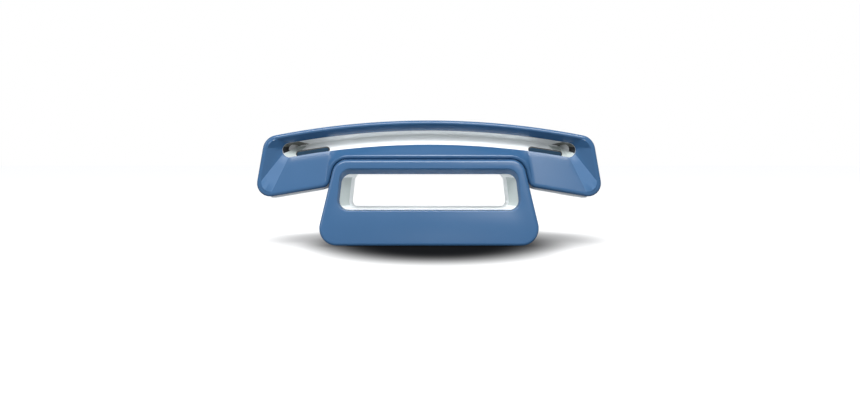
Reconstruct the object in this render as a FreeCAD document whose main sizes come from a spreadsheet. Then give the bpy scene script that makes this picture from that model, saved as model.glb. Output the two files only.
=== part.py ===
import FreeCAD, Part
import math
import os
import re
import Sketcher

# A compact cordless table phone: a handset with an arched back lies across a low loop-shaped base.
# Frame: +X from the earpiece end to the mouthpiece end, -Y the front, +Z up. The origin is on the surface
# that the feet stand on, under the middle of the base.

Vector = FreeCAD.Vector
Placement = FreeCAD.Placement
Rotation = FreeCAD.Rotation

SIZES = [
    # base: a loop with leaning sides and leaning front and rear faces
    ("foot_half", 68.7, "half width of the base where its sides would meet the surface"),
    ("foot_deep", 38.0, "half depth of the base where its faces would meet the surface"),
    ("base_top", 52.3, "height of the base"),
    ("shell_low", 0.8, "height of the base's lower edge above the surface"),
    ("side_lean", 12.9, "degrees that the base's sides lean inwards"),
    ("face_lean", 10.5, "degrees that the base's faces lean inwards"),
    ("foot_round", 10.5, "radius of the base's lower corners"),
    ("crown_round", 9.0, "radius of the base's upper corners"),
    ("rim_round", 1.8, "radius of the edges round the faces"),
    ("wall", 2.4, "wall of the base's shells"),
    ("window_low", 22.1, "height of the window's lower lip"),
    ("window_top", 43.3, "height of the window's upper lip"),
    ("pillar_low", 11.3, "width of the base beside the window's lower corners"),
    ("pillar_top", 8.7, "width of the base beside the window's upper corners"),
    ("funnel_deep", 4.0, "depth of the bevel round the window"),
    ("funnel_side", 3.6, "width of that bevel at the sides"),
    ("funnel_top", 2.2, "width of that bevel at the top"),
    ("funnel_low", 1.6, "width of that bevel at the bottom"),
    ("lining_wall", 1.2, "wall of the white linings"),
    ("lining_bulge", 4.0, "how far the lining's side walls bulge into the window"),
    ("plate_inset", 15.7, "bottom plate's ends behind the foot of the base's sides"),
    ("plate_margin", 6.0, "bottom plate's long edges behind the foot of the base's faces"),
    ("plate_thick", 2.2, "thickness of the bottom plate"),
    ("foot_radius", 6.0, "radius of a rubber foot"),
    ("foot_thick", 2.0, "thickness of a rubber foot"),
    ("foot_margin", 8.0, "rubber feet inside the ends of the bottom plate"),
    ("foot_setback", 7.5, "rubber feet inside the long edges of the bottom plate"),
    ("post_gap", 14.0, "base screws inside the rubber feet, along X"),
    ("post_setback", 5.5, "base screws inside the long edges of the bottom plate"),
    ("post_top", 14.0, "height of the screw posts"),
    ("screw_radius", 1.3, "radius of a screw's shank"),
    ("head_radius", 2.6, "radius of a screw's head"),
    ("head_thick", 1.1, "height of a screw's head"),
    ("screw_top", 11.0, "height that a base screw reaches"),
    ("board_low", 6.2, "underside of the base's circuit board"),
    ("board_thick", 1.6, "thickness of the base's circuit board"),
    ("board_half", 25.0, "half width of the base's circuit board"),
    ("board_front", 20.0, "reach of that board to the front"),
    ("board_setback", 9.0, "rear edge of the base's circuit board behind the foot of the rear face"),
    ("ballast_thick", 2.6, "thickness of the steel weight"),
    ("line_jack_wide", 13.4, "width of the line socket"),
    ("line_jack_tall", 10.2, "height of the line socket"),
    ("line_jack_deep", 13.0, "depth of the line socket"),
    ("line_jack_at", 14.5, "line socket from the middle along X"),
    ("line_port_wide", 9.8, "width of the line socket's mouth"),
    ("line_port_tall", 6.8, "height of the line socket's mouth"),
    ("line_port_deep", 10.5, "depth of the line socket's mouth"),
    ("power_jack_wide", 9.0, "width of the power socket"),
    ("power_jack_tall", 10.0, "height of the power socket"),
    ("power_jack_deep", 13.0, "depth of the power socket"),
    ("power_jack_at", 15.0, "power socket from the middle along -X"),
    ("power_bore", 2.8, "radius of the power socket's bore"),
    ("power_bore_deep", 9.5, "depth of the power socket's bore"),
    ("power_pin", 1.0, "radius of the power socket's centre pin"),
    ("button_radius", 3.8, "radius of the locator button"),
    ("button_high", 13.4, "height of the locator button's middle"),
    ("button_travel", 1.0, "travel of the locator button"),
    ("button_proud", 0.8, "how far the locator button stands out"),
    ("cradle_margin", 22.7, "ends of the cradle's tray inside the foot of the base's sides"),
    ("cradle_deep", 19.6, "half depth of the opening in the base's top"),
    ("cradle_floor", 48.6, "underside of the cradle's floor"),
    ("cradle_wall", 1.2, "wall of the cradle"),
    ("contact_margin", 4.5, "charging pins inside the end of the cradle's tray"),
    ("contact_along", 7.0, "charging contacts from the middle along Y"),
    ("pin_radius", 1.5, "radius of a charging pin"),
    ("pin_travel", 1.2, "travel of a charging pin"),
    ("rest_gap", 0.3, "gap under the lower edges of the handset where it lies on the base"),
    ("seat_gap", 0.6, "gap between the handset's shoulders and the base's sides, along X"),
    ("fit", 0.15, "clearance round a piece that drops into an opening"),
    # handset: an arched back, two ears that hang down beside the base
    ("arch_radius", 488.0, "radius of the handset's arched back"),
    ("arch_top", 76.1, "height of the arched back at the middle"),
    ("corner_margin", 6.6, "upper corners of the handset inside its lower outer corners, before rounding"),
    ("ear_reach", 37.8, "lower outer corners of the ears beyond the foot of the base's sides, unrounded"),
    ("tip_low", 27.9, "height of those corners, before rounding"),
    ("heel_high", 35.7, "height of the ears' inner lower corners, before rounding"),
    ("corner_round", 9.5, "radius of the handset's upper corners"),
    ("tip_round", 8.0, "radius of the ears' lower outer corners"),
    ("heel_round", 5.0, "radius of the ears' inner lower corners"),
    ("grip_deep", 25.0, "half depth of the handset"),
    ("grip_wall", 2.2, "wall of the handset's shells"),
    ("cheek_deep", 5.0, "how far the slot's lip lies behind the rim"),
    ("cheek_rim", 2.2, "width of the raised rim round each side"),
    ("slot_rail", 6.2, "height of the rail above the slot"),
    ("slot_tall", 8.4, "height of the slot"),
    ("slot_margin", 20.8, "where the slot's rounded ends begin, inside the ears' outer corners"),
    ("slot_ease", 0.0306999, "how much the slot's end radius is above half its end's height"),
    ("throat_at", 3.0, "how far the slot's deepest line lies below its upper lip"),
    ("throat_margin", 6.2, "ends of the slot's deepest line inside the slot's ends"),
    ("throat_tall", 0.8, "height of the slot's flat bottom"),
    ("slot_deep", 10.0, "depth of the slot behind its lip"),
    ("pad_margin", 14.7, "middle of the glossy pads inside the slot's ends"),
    ("pad_wide", 21.0, "width of a glossy pad"),
    ("pad_proud", 2.8, "how far a pad stands above the slot's lower lip"),
    ("pad_sunk", 1.0, "how far a pad reaches below that lip"),
    ("pad_thick", 4.4, "depth of a pad along Y"),
    ("face_margin", 3.2, "width of the shells' lower edges beside the white inner face"),
    ("face_thick", 1.6, "thickness of the white inner face"),
    ("face_sunk", 0.6, "how far the inner face lies above the shells' lower edges"),
    ("face_bulge", 1.3, "how far the ear faces stand out of the ears"),
    ("panel_margin", 21.2, "ends of the keypad panel inside the foot of the base's sides"),
    ("key_long", 7.4, "length of a key along X"),
    ("key_wide", 9.2, "width of a key along Y"),
    ("key_round", 2.4, "radius of a key's corners"),
    ("key_proud", 1.2, "how far a key stands out of the panel"),
    ("key_flange", 0.7, "width of the flange that keeps a key in"),
    ("key_step", 9.6, "spacing of the key rows along X"),
    ("key_column", 11.0, "spacing of the key columns along Y"),
    ("key_first", -14.6, "first key row along X"),
    ("key_travel", 0.7, "travel of a key"),
    ("lens_long", 24.0, "length of the display lens along X"),
    ("lens_wide", 34.0, "width of the display lens along Y"),
    ("lens_at", 33.4, "display lens from the middle along -X"),
    ("mat_thick", 0.8, "thickness of the rubber key mat"),
    ("card_thick", 1.0, "thickness of the handset's circuit board"),
    ("card_half", 16.8, "half width of the handset's circuit board"),
    ("ear_margin", 25.9, "middle of each ear's face inside the ear's outer corner"),
    ("speaker_radius", 13.0, "radius of the earpiece loudspeaker"),
    ("speaker_tall", 5.6, "height of the earpiece loudspeaker"),
    ("cell_long", 22.0, "battery pack along X"),
    ("cell_wide", 32.0, "battery pack along Y"),
    ("cell_tall", 8.0, "height of the battery pack"),
    ("door_long", 23.6, "battery door along X"),
    ("door_wide", 35.0, "battery door along Y"),
]

# Sizes that follow from others.
FOLLOWING = [
    ("plate_half", "foot_half - plate_inset", "half length of the bottom plate"),
    ("plate_deep", "foot_deep - plate_margin", "half depth of the bottom plate"),
    ("foot_across", "plate_half - foot_margin", "feet from the middle along X"),
    ("foot_along", "plate_deep - foot_setback", "feet from the middle along Y"),
    ("post_across", "foot_across - post_gap", "base screws from the middle along X"),
    ("post_along", "plate_deep - post_setback", "base screws from the middle along Y"),
    ("board_rear", "foot_deep - board_setback", "reach of that board to the rear"),
    ("cradle_half", "foot_half - cradle_margin", "half length of the opening in the base's top"),
    ("contact_across", "cradle_half - contact_margin", "charging contacts from the middle along X"),
    ("tip_reach", "foot_half + ear_reach", "lower outer corners of the ears from the middle, unrounded"),
    ("corner_reach", "tip_reach - corner_margin", "upper corners of the handset from the middle, unrounded"),
    ("slot_end", "tip_reach - slot_margin", "where the slot's rounded ends begin"),
    ("slot_top", "sqrt((arch_radius - slot_rail) ^ 2 - slot_end ^ 2)",
     "height of the slot's upper edge at its ends, above the arch's centre"),
    ("slot_bottom", "sqrt((arch_radius - slot_rail - slot_tall) ^ 2 - slot_end ^ 2)",
     "height of the slot's lower edge at its ends, above the arch's centre"),
    ("slot_round", "(slot_top - slot_bottom) / 2 + slot_ease", "radius of the slot's ends"),
    ("throat_half", "slot_end - throat_margin", "half length of the slot's deepest line"),
    ("pad_across", "slot_end - pad_margin", "glossy pads in the slot from the middle along X"),
    ("face_half", "grip_deep - face_margin", "half depth of the white inner face"),
    ("panel_half", "foot_half - panel_margin", "half length of the keypad panel"),
    ("ear_at", "tip_reach - ear_margin", "middle of each ear's face from the middle of the handset"),
]

doc = FreeCAD.newDocument("cordless_phone")
sheet = doc.addObject("Spreadsheet::Sheet", "Sizes")
for row, (alias, size, meaning) in enumerate(SIZES + FOLLOWING, start=1):
    sheet.set(f"A{row}", alias)
    sheet.set(f"B{row}", f"={size}")
    sheet.setAlias(f"B{row}", alias)
    sheet.set(f"C{row}", meaning)
doc.recompute()

ALIASES = re.compile(r"\b(" + "|".join(name for name, _, _ in SIZES + FOLLOWING) + r")\b")


def tied(text):
    """The expression for a formula written in the sheet's own names."""
    return ALIASES.sub(r"Sizes.\1", str(text))


def worth(text):
    """What such a formula comes to now, in millimetres or degrees."""
    result = sheet.evalExpression(tied(text))
    return float(getattr(result, "Value", result))


def bind(thing, **sizes):
    """Tie properties of an object to formulas; a double underscore in a name stands for a dot."""
    for name, text in sizes.items():
        thing.setExpression(name.replace("__", "."), tied(text))
    return thing


# Heights and places that several pieces share.
PLATE_TOP = "(shell_low + plate_thick)"
BOARD_TOP = "(board_low + board_thick)"
RIM = "(base_top + rest_gap)"
PANEL_LOW = f"({RIM} + face_sunk)"
PANEL_TOP = f"({PANEL_LOW} + face_thick)"
MAT_LOW = f"({PANEL_TOP} + 0.1 + key_flange + key_travel + 0.1)"
CARD_LOW = f"({MAT_LOW} + mat_thick)"
ARCH_CENTRE = "(arch_top - arch_radius)"
HEEL_REACH = "(foot_half - heel_high * tan(side_lean) + seat_gap)"
SHOULDER_REACH = f"(foot_half - {RIM} * tan(side_lean) + seat_gap)"
CORNER_HIGH = f"({ARCH_CENTRE} + sqrt(arch_radius^2 - corner_reach^2))"
EAR_TILT = f"atan((heel_high - tip_low) / (tip_reach - {HEEL_REACH}))"
LIP_DEEP = "(grip_deep - cheek_deep)"


def arch_height(drop, across):
    """Height of a line that runs at a distance below the arched back."""
    return f"({ARCH_CENTRE} + sqrt((arch_radius - ({drop}))^2 - ({across})^2))"


def origin_plane(body, role):
    for feature in body.Origin.OriginFeatures:
        if feature.Role == role:
            return feature
    raise ValueError(role)


def draw_loop(sketch, corners):
    """Add a closed outline. A corner is (across, up) or (across, up, radius): with a radius the edge that
    leaves it is an arc, which bows outwards on an outline that runs anticlockwise, or inwards if negative."""
    spots = [Vector(worth(c[0]), worth(c[1]), 0) for c in corners]
    edges = []
    for i, corner in enumerate(corners):
        start, end = spots[i], spots[(i + 1) % len(spots)]
        if len(corner) == 2:
            edges.append((sketch.addGeometry(Part.LineSegment(start, end), False), 1, 2))
            continue
        bow = worth(corner[2])
        chord = end - start
        left = Vector(-chord.y, chord.x, 0).normalize()
        rise = math.sqrt(bow**2 - (chord.Length / 2) ** 2)
        centre = (start + end) * 0.5 + left * math.copysign(rise, bow)
        first, last = (start, end) if bow > 0 else (end, start)
        angles = [math.atan2(p.y - centre.y, p.x - centre.x) for p in (first, last)]
        if angles[1] < angles[0]:
            angles[1] += 2 * math.pi
        circle = Part.Circle(centre, Vector(0, 0, 1), abs(bow))
        arc = sketch.addGeometry(Part.ArcOfCircle(circle, *angles), False)
        edges.append((arc, 1, 2) if bow > 0 else (arc, 2, 1))
        radius = sketch.addConstraint(Sketcher.Constraint("Radius", arc, abs(bow)))
        sketch.setExpression(f"Constraints[{radius}]", tied(f"abs({corner[2]})"))
    for i, (edge, head, _) in enumerate(edges):
        before, _, tail = edges[i - 1]
        sketch.addConstraint(Sketcher.Constraint("Coincident", before, tail, edge, head))
        for kind, text, place in (("DistanceX", corners[i][0], spots[i].x),
                                  ("DistanceY", corners[i][1], spots[i].y)):
            index = sketch.addConstraint(Sketcher.Constraint(kind, -1, 1, edge, head, place))
            sketch.setExpression(f"Constraints[{index}]", tied(text))


def draw_circle(sketch, across, up, radius):
    circle = Part.Circle(Vector(worth(across), worth(up), 0), Vector(0, 0, 1), worth(radius))
    index = sketch.addGeometry(circle, False)
    for kind, text, place in (("DistanceX", across, worth(across)), ("DistanceY", up, worth(up))):
        constraint = sketch.addConstraint(Sketcher.Constraint(kind, -1, 1, index, 3, place))
        sketch.setExpression(f"Constraints[{constraint}]", tied(text))
    constraint = sketch.addConstraint(Sketcher.Constraint("Radius", index, worth(radius)))
    sketch.setExpression(f"Constraints[{constraint}]", tied(radius))


def add_sketch(body, role, loops=(), circles=(), lift="0", turn=None):
    """A sketch on one of the body's own planes, lifted along its normal and, if asked, turned about its
    own horizontal axis."""
    sketch = body.newObject("Sketcher::SketchObject", "Outline")
    sketch.AttachmentSupport = (origin_plane(body, role), [""])
    sketch.MapMode = "FlatFace"
    if turn is not None:
        offset = Placement(Vector(0, 0, worth(lift)), Rotation(Vector(1, 0, 0), worth(turn)))
        sketch.AttachmentOffset = offset
        bind(sketch, AttachmentOffset__Rotation__Angle=turn)
    bind(sketch, AttachmentOffset__Base__z=lift)
    for loop in loops:
        draw_loop(sketch, loop)
    for circle in circles:
        draw_circle(sketch, *circle)
    return sketch


def oblong(half_x, low, top):
    """An upright rectangle about the middle."""
    return [(f"-({half_x})", low), (half_x, low), (half_x, top), (f"-({half_x})", top)]


def rectangle(left, right, low, top):
    return [(left, low), (right, low), (right, top), (left, top)]


def rounded(left, right, low, top, radius):
    """A rectangle with quarter-round corners."""
    return [(f"{left} + {radius}", low), (f"{right} - {radius}", low, radius), (right, f"{low} + {radius}"),
            (right, f"{top} - {radius}", radius), (f"{right} - {radius}", top),
            (f"{left} + {radius}", top, radius), (left, f"{top} - {radius}"),
            (left, f"{low} + {radius}", radius)]


def feature(body, kind, sketch, length=None, both=False, reverse=False, through=False, along=None):
    """A pad or pocket of a sketch. Pads run along the sketch's normal and pockets against it."""
    before = body.Shape.Volume if kind == "Pocket" else 0
    made = body.newObject(f"PartDesign::{kind}", kind)
    made.Profile = sketch
    if through:
        made.Type = "ThroughAll"
    else:
        bind(made, Length=length)
    made.Reversed = reverse
    if both:
        made.SideType = "Symmetric"
    if along is not None:
        made.UseCustomVector = True
        made.Direction = along
    sketch.Visibility = False
    doc.recompute()
    if kind == "Pocket" and not made.Shape.Volume < before - 1e-6:
        raise RuntimeError(f"{body.Label}: a pocket removed nothing")
    return made


def soften(body, radius, wanted):
    """Round every edge of the body that the test picks."""
    base = body.Tip
    names = [f"Edge{i}" for i, edge in enumerate(base.Shape.Edges, start=1) if wanted(edge)]
    if not names:
        raise RuntimeError(f"{body.Label}: no edge to round")
    made = body.newObject("PartDesign::Fillet", "Round")
    made.Base = (base, names)
    bind(made, Radius=radius)
    doc.recompute()
    return made


def loft(body, kind, sketches, ruled=True):
    made = body.newObject(f"PartDesign::{kind}Loft", "Loft")
    made.Profile = sketches[0]
    made.Sections = sketches[1:]
    made.Ruled = ruled
    doc.recompute()
    return made


def new_body(label, placement=None):
    body = doc.addObject("PartDesign::Body", label)
    body.Label = label
    if placement is not None:
        body.Placement = placement
    pieces.append(body)
    return body


def block(label, left, right, front, rear, low, top, placement=None):
    """A plain block as a body with one pad."""
    body = new_body(label, placement)
    base = add_sketch(body, "XY_Plane", [rectangle(left, right, front, rear)], lift=low)
    feature(body, "Pad", base, f"({top}) - ({low})")
    return body


def runs_along(edge, axis):
    if edge.Curve.TypeId != "Part::GeomLine":
        return False
    direction = edge.lastVertex().Point - edge.firstVertex().Point
    return abs(direction.normalize().dot(axis)) > 0.9999


def at_corner(edge, across, up):
    """Whether an edge that runs along Y passes a corner of the outline, on either side."""
    point = edge.firstVertex().Point
    return math.hypot(abs(point.x) - worth(across), point.z - worth(up)) < 0.05


pieces = []
ALONG_X, ALONG_Y, ALONG_Z = Vector(1, 0, 0), Vector(0, 1, 0), Vector(0, 0, 1)
HALF_TURN = Placement(Vector(0, 0, 0), Rotation(ALONG_Z, 180))


# ---------------------------------------------------------------- base shells

def side_reach(high, inset="0"):
    """Half width of the base at a height, less a wall."""
    return f"(foot_half - ({high}) * tan(side_lean) - ({inset}) / cos(side_lean))"


def face_lift(inset):
    """Where the front face's leaning plane, or one behind it, crosses the surface that the base stands on."""
    return f"(foot_deep - ({inset}) / cos(face_lean))"


def on_face(high):
    """A height as a distance up the leaning face."""
    return f"(({high}) / cos(face_lean))"


def window_half(top, out="0"):
    if top:
        return f"({side_reach('window_top')} - pillar_top + ({out}))"
    return f"({side_reach('window_low')} - pillar_low + ({out}))"


def window_loop(side="0", low="0", top="0", height=lambda text: text):
    """The window's lip, with each side moved outwards."""
    lower, upper = window_half(False, side), window_half(True, side)
    floor, ceiling = height(f"(window_low - ({low}))"), height(f"(window_top + ({top}))")
    return [(f"-{lower}", floor), (lower, floor), (upper, ceiling), (f"-{upper}", ceiling)]


def base_shell(label, placement=None):
    body = new_body(label, placement)
    low, top = side_reach("shell_low"), side_reach("base_top")
    outline = [(f"-{low}", "shell_low"), (low, "shell_low"), (top, "base_top"), (f"-{top}", "base_top")]
    feature(body, "Pad", add_sketch(body, "XZ_Plane", [outline]), "foot_deep")
    soften(body, "foot_round", lambda e: runs_along(e, ALONG_Y) and at_corner(e, low, "shell_low"))
    soften(body, "crown_round", lambda e: runs_along(e, ALONG_Y) and at_corner(e, top, "base_top"))
    beyond = [rectangle("-2 * foot_half", "2 * foot_half", "-foot_half", "2 * foot_half")]
    face = add_sketch(body, "XZ_Plane", beyond, lift=face_lift("0"), turn="-face_lean")
    feature(body, "Pocket", face, "foot_deep", reverse=True)
    slope = math.tan(math.radians(worth("face_lean")))
    soften(body, "rim_round", lambda e: all(
        abs(v.Point.y + worth("foot_deep") - v.Point.z * slope) < 0.01 for v in e.Vertexes))
    # the hollow behind the face, open to the parting plane
    behind = "funnel_deep + wall"
    floor, ceiling = f"({PLATE_TOP} + 6)", "(base_top - wall)"
    inner_low, inner_top = side_reach(floor, "wall"), side_reach(ceiling, "wall")
    corner = "crown_round * 0.45"
    hollow = [(f"-{inner_low}", on_face(floor)), (inner_low, on_face(floor)),
              (f"({inner_top} + {corner} * tan(side_lean))", on_face(f"{ceiling} - {corner}")),
              (f"({inner_top} - {corner})", on_face(ceiling)),
              (f"-({inner_top} - {corner})", on_face(ceiling)),
              (f"-({inner_top} + {corner} * tan(side_lean))", on_face(f"{ceiling} - {corner}"))]
    behind_face = add_sketch(body, "XZ_Plane", [hollow], lift=face_lift(behind), turn="-face_lean")
    feature(body, "Pocket", behind_face, through=True, along=ALONG_Y)
    # the deeper hollow in the bottom bar, and the mouth that the bottom plate closes
    bar = [oblong("plate_half - 1", on_face("shell_low + 1"), on_face("window_low - funnel_low - 2.2"))]
    bar_face = add_sketch(body, "XZ_Plane", bar, lift=face_lift("wall"), turn="-face_lean")
    feature(body, "Pocket", bar_face, through=True, along=ALONG_Y)
    mouth = [rectangle("-(plate_half + fit)", "plate_half + fit", "-(plate_deep + fit)", "1")]
    feature(body, "Pocket", add_sketch(body, "XY_Plane", mouth, lift=PLATE_TOP), f"{PLATE_TOP} + 1")
    # the window and the bevel round it
    bevel = [window_loop("lining_wall + fit + funnel_side", "lining_wall + fit + funnel_low",
                         "lining_wall + fit + funnel_top", on_face)]
    lip = [window_loop("lining_wall + fit", "lining_wall + fit", "lining_wall + fit", on_face)]
    outer = add_sketch(body, "XZ_Plane", bevel, lift=face_lift("0"), turn="-face_lean")
    inner = add_sketch(body, "XZ_Plane", lip, lift=face_lift("funnel_deep"), turn="-face_lean")
    loft(body, "Subtractive", [outer, inner])
    through = add_sketch(body, "XZ_Plane", lip, lift=face_lift("funnel_deep - 0.01"), turn="-face_lean")
    feature(body, "Pocket", through, through=True, along=ALONG_Y)
    # the opening in the top that the cradle fills
    opening = [rectangle("-(cradle_half + fit)", "cradle_half + fit", "-(cradle_deep + fit)", "1")]
    feature(body, "Pocket", add_sketch(body, "XY_Plane", opening, lift="base_top + 1"), "wall + 2")
    # a post for each screw, joined to the front wall
    for side in ("", "-"):
        left, right = f"{side}post_across - 4", f"{side}post_across + 4"
        rib = [rectangle(left, right, "-(foot_deep - wall - 2)", "-(post_along - 4)")]
        feature(body, "Pad", add_sketch(body, "XY_Plane", rib, lift=PLATE_TOP), f"post_top - {PLATE_TOP}")
        bore = [(f"{side}post_across", "-post_along", "screw_radius + 0.05")]
        hole = add_sketch(body, "XY_Plane", circles=bore, lift=PLATE_TOP)
        feature(body, "Pocket", hole, f"screw_top + 1 - {PLATE_TOP}", reverse=True)
    return body


base_shell("base_front_shell")
base_rear = base_shell("base_rear_shell", HALF_TURN)

# openings in the rear shell: the body is turned, so its own -Y is the rear and its own -X is +X
ports = [
    rectangle("-line_jack_at - line_port_wide / 2", "-line_jack_at + line_port_wide / 2",
              f"{BOARD_TOP} + 1.7", f"{BOARD_TOP} + 1.7 + line_port_tall"),
]
port_holes = [("power_jack_at", f"{BOARD_TOP} + power_jack_tall / 2", "power_bore + 1.2"),
              ("0", "button_high", "button_radius + fit")]
port_sketch = add_sketch(base_rear, "XZ_Plane", ports, port_holes, lift="foot_deep + 1")
feature(base_rear, "Pocket", port_sketch, "foot_deep / 2")


# ---------------------------------------------------------------- window lining

def window_lining():
    body = new_body("window_lining")
    outer = add_sketch(body, "XZ_Plane", [window_loop("lining_wall", "lining_wall", "lining_wall")])
    feature(body, "Pad", outer, "2 * foot_deep", both=True)
    beyond = [rectangle("-2 * foot_half", "2 * foot_half", "-foot_half", "2 * foot_half")]
    lift = face_lift("funnel_deep + 0.1")
    front = add_sketch(body, "XZ_Plane", beyond, lift=lift, turn="-face_lean")
    feature(body, "Pocket", front, "foot_deep", reverse=True)
    rear = add_sketch(body, "XZ_Plane", beyond, lift=f"-{lift}", turn="face_lean")
    feature(body, "Pocket", rear, "foot_deep")
    flush = "(foot_deep - window_top * tan(face_lean) - funnel_deep)"
    sections = []
    for place, bulge in (("foot_deep", "0"), (flush, "0"), ("0", "lining_bulge"), (f"-{flush}", "0"),
                         ("-foot_deep", "0")):
        sections.append(add_sketch(body, "XZ_Plane", [window_loop(f"0 - ({bulge})")], lift=place))
    loft(body, "Subtractive", sections)
    return body


window_lining()


# ---------------------------------------------------------------- bottom plate, feet, screws, weight

def base_plate():
    body = new_body("base_plate")
    outline = rectangle("-plate_half", "plate_half", "-plate_deep", "plate_deep")
    feature(body, "Pad", add_sketch(body, "XY_Plane", [outline], lift="shell_low"), "plate_thick")
    soften(body, "4", lambda e: runs_along(e, ALONG_Z))
    stands = [(f"{i}(board_half - 3)", f"{j}", "2.2") for i in ("", "-")
              for j in ("(board_rear - 3)", "-(board_front - 3)")]
    feature(body, "Pad", add_sketch(body, "XY_Plane", circles=stands, lift=PLATE_TOP),
            f"board_low - {PLATE_TOP}")
    corners = [(i, j) for i in ("", "-") for j in ("", "-")]
    feet = [(f"{i}foot_across", f"{j}foot_along", "foot_radius + 0.1") for i, j in corners]
    sunk = "foot_thick - shell_low"
    feature(body, "Pocket", add_sketch(body, "XY_Plane", circles=feet, lift="shell_low"), sunk, reverse=True)
    heads = [(f"{i}post_across", f"{j}post_along", "head_radius + 0.2") for i, j in corners]
    feature(body, "Pocket", add_sketch(body, "XY_Plane", circles=heads, lift="shell_low"),
            "head_thick + 0.1", reverse=True)
    holes = [(f"{i}post_across", f"{j}post_along", "screw_radius + 0.2") for i, j in corners]
    feature(body, "Pocket", add_sketch(body, "XY_Plane", circles=holes, lift="shell_low"),
            "plate_thick + 1", reverse=True)
    return body


def solid(kind, name, placement, **sizes):
    """A Part primitive, part of a group of separate solids."""
    made = doc.addObject(f"Part::{kind}", name)
    bind(made, **sizes)
    made.Placement = placement
    return made


def group(label, members):
    made = doc.addObject("Part::Compound", label)
    made.Label = label
    made.Links = members
    pieces.append(made)
    return made


def spot(across, along, high):
    return Placement(Vector(worth(across), worth(along), worth(high)), Rotation())


def base_feet():
    feet = []
    for i in ("", "-"):
        for j in ("", "-"):
            place = spot(f"{i}foot_across", f"{j}foot_along", "0")
            feet.append(solid("Cylinder", "Foot", place, Radius="foot_radius", Height="foot_thick"))
    group("rubber_feet", feet)


def base_screws():
    screws = []
    for i in ("", "-"):
        for j in ("", "-"):
            head = solid("Cylinder", "Head", spot(f"{i}post_across", f"{j}post_along", "shell_low + 0.1"),
                         Radius="head_radius", Height="head_thick")
            shank = solid("Cylinder", "Shank", spot(f"{i}post_across", f"{j}post_along", "shell_low + 0.1"),
                          Radius="screw_radius", Height="screw_top - shell_low - 0.1")
            screw = doc.addObject("Part::Fuse", "Screw")
            screw.Base, screw.Tool = head, shank
            screws.append(screw)
    group("base_screws", screws)


base_plate()
base_feet()
base_screws()
block("steel_weight", "-(board_half - 6)", "board_half - 6", "-(board_front - 1)", "board_rear - 7",
      PLATE_TOP, f"{PLATE_TOP} + ballast_thick")


# ---------------------------------------------------------------- base electronics

block("base_board", "-board_half", "board_half", "-board_front", "board_rear", "board_low", BOARD_TOP)
block("radio_shield", "-(board_half - 4)", "2", "-(board_front - 4)", "6", BOARD_TOP, f"{BOARD_TOP} + 3.2")
block("antenna", "-(board_half - 4)", "board_half - 4", "-(board_front - 1)", "-(board_front - 1.6)",
      BOARD_TOP, f"{BOARD_TOP} + 9")


def jack_rear(tall):
    """How far back a socket reaches before it meets the leaning rear wall."""
    return f"(foot_deep - ({BOARD_TOP} + {tall}) * tan(face_lean) - wall / cos(face_lean) - 0.2)"


def line_jack():
    rear = jack_rear("line_jack_tall")
    body = block("line_socket", "line_jack_at - line_jack_wide / 2", "line_jack_at + line_jack_wide / 2",
                 f"{rear} - line_jack_deep", rear, BOARD_TOP, f"{BOARD_TOP} + line_jack_tall")
    mouth = [rectangle("line_jack_at - line_port_wide / 2", "line_jack_at + line_port_wide / 2",
                       f"{BOARD_TOP} + 1.7", f"{BOARD_TOP} + 1.7 + line_port_tall")]
    sketch = add_sketch(body, "XZ_Plane", mouth, lift=f"-{rear}")
    feature(body, "Pocket", sketch, "line_port_deep", reverse=True)


def power_jack():
    rear = jack_rear("power_jack_tall")
    body = block("power_socket",
                 "-power_jack_at - power_jack_wide / 2", "-power_jack_at + power_jack_wide / 2",
                 f"{rear} - power_jack_deep", rear, BOARD_TOP, f"{BOARD_TOP} + power_jack_tall")
    middle = ("-power_jack_at", f"{BOARD_TOP} + power_jack_tall / 2")
    bore = add_sketch(body, "XZ_Plane", circles=[(*middle, "power_bore")], lift=f"-{rear}")
    feature(body, "Pocket", bore, "power_bore_deep", reverse=True)
    pin = add_sketch(body, "XZ_Plane", circles=[(*middle, "power_pin")], lift=f"-({rear} - 1)")
    feature(body, "Pad", pin, "power_bore_deep")


line_jack()
power_jack()


def page_button():
    """The locator button: a domed cap in the rear wall with a flange inside it."""
    face = "(foot_deep - button_high * tan(face_lean))"
    flange = "(foot_deep - (button_high + button_radius + 1) * tan(face_lean) - wall / cos(face_lean) - 0.15)"
    body = new_body("locator_button")
    cap = add_sketch(body, "XZ_Plane", circles=[("0", "button_high", "button_radius")],
                     lift=f"-({face} + button_proud)")
    feature(body, "Pad", cap, f"{face} + button_proud - {flange} + 1")
    soften(body, "0.7", lambda e: abs(e.firstVertex().Point.y - worth(f"{face} + button_proud")) < 0.01)
    ring = add_sketch(body, "XZ_Plane", circles=[("0", "button_high", "button_radius + 1")],
                      lift=f"-{flange}")
    feature(body, "Pad", ring, "1.2")
    block("button_switch", "-3", "3", f"{flange} - 1.2 - button_travel - 3.2",
          f"{flange} - 1.2 - button_travel - 0.1", BOARD_TOP, "button_high + 2")


page_button()


# ---------------------------------------------------------------- cradle and charging contacts

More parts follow.
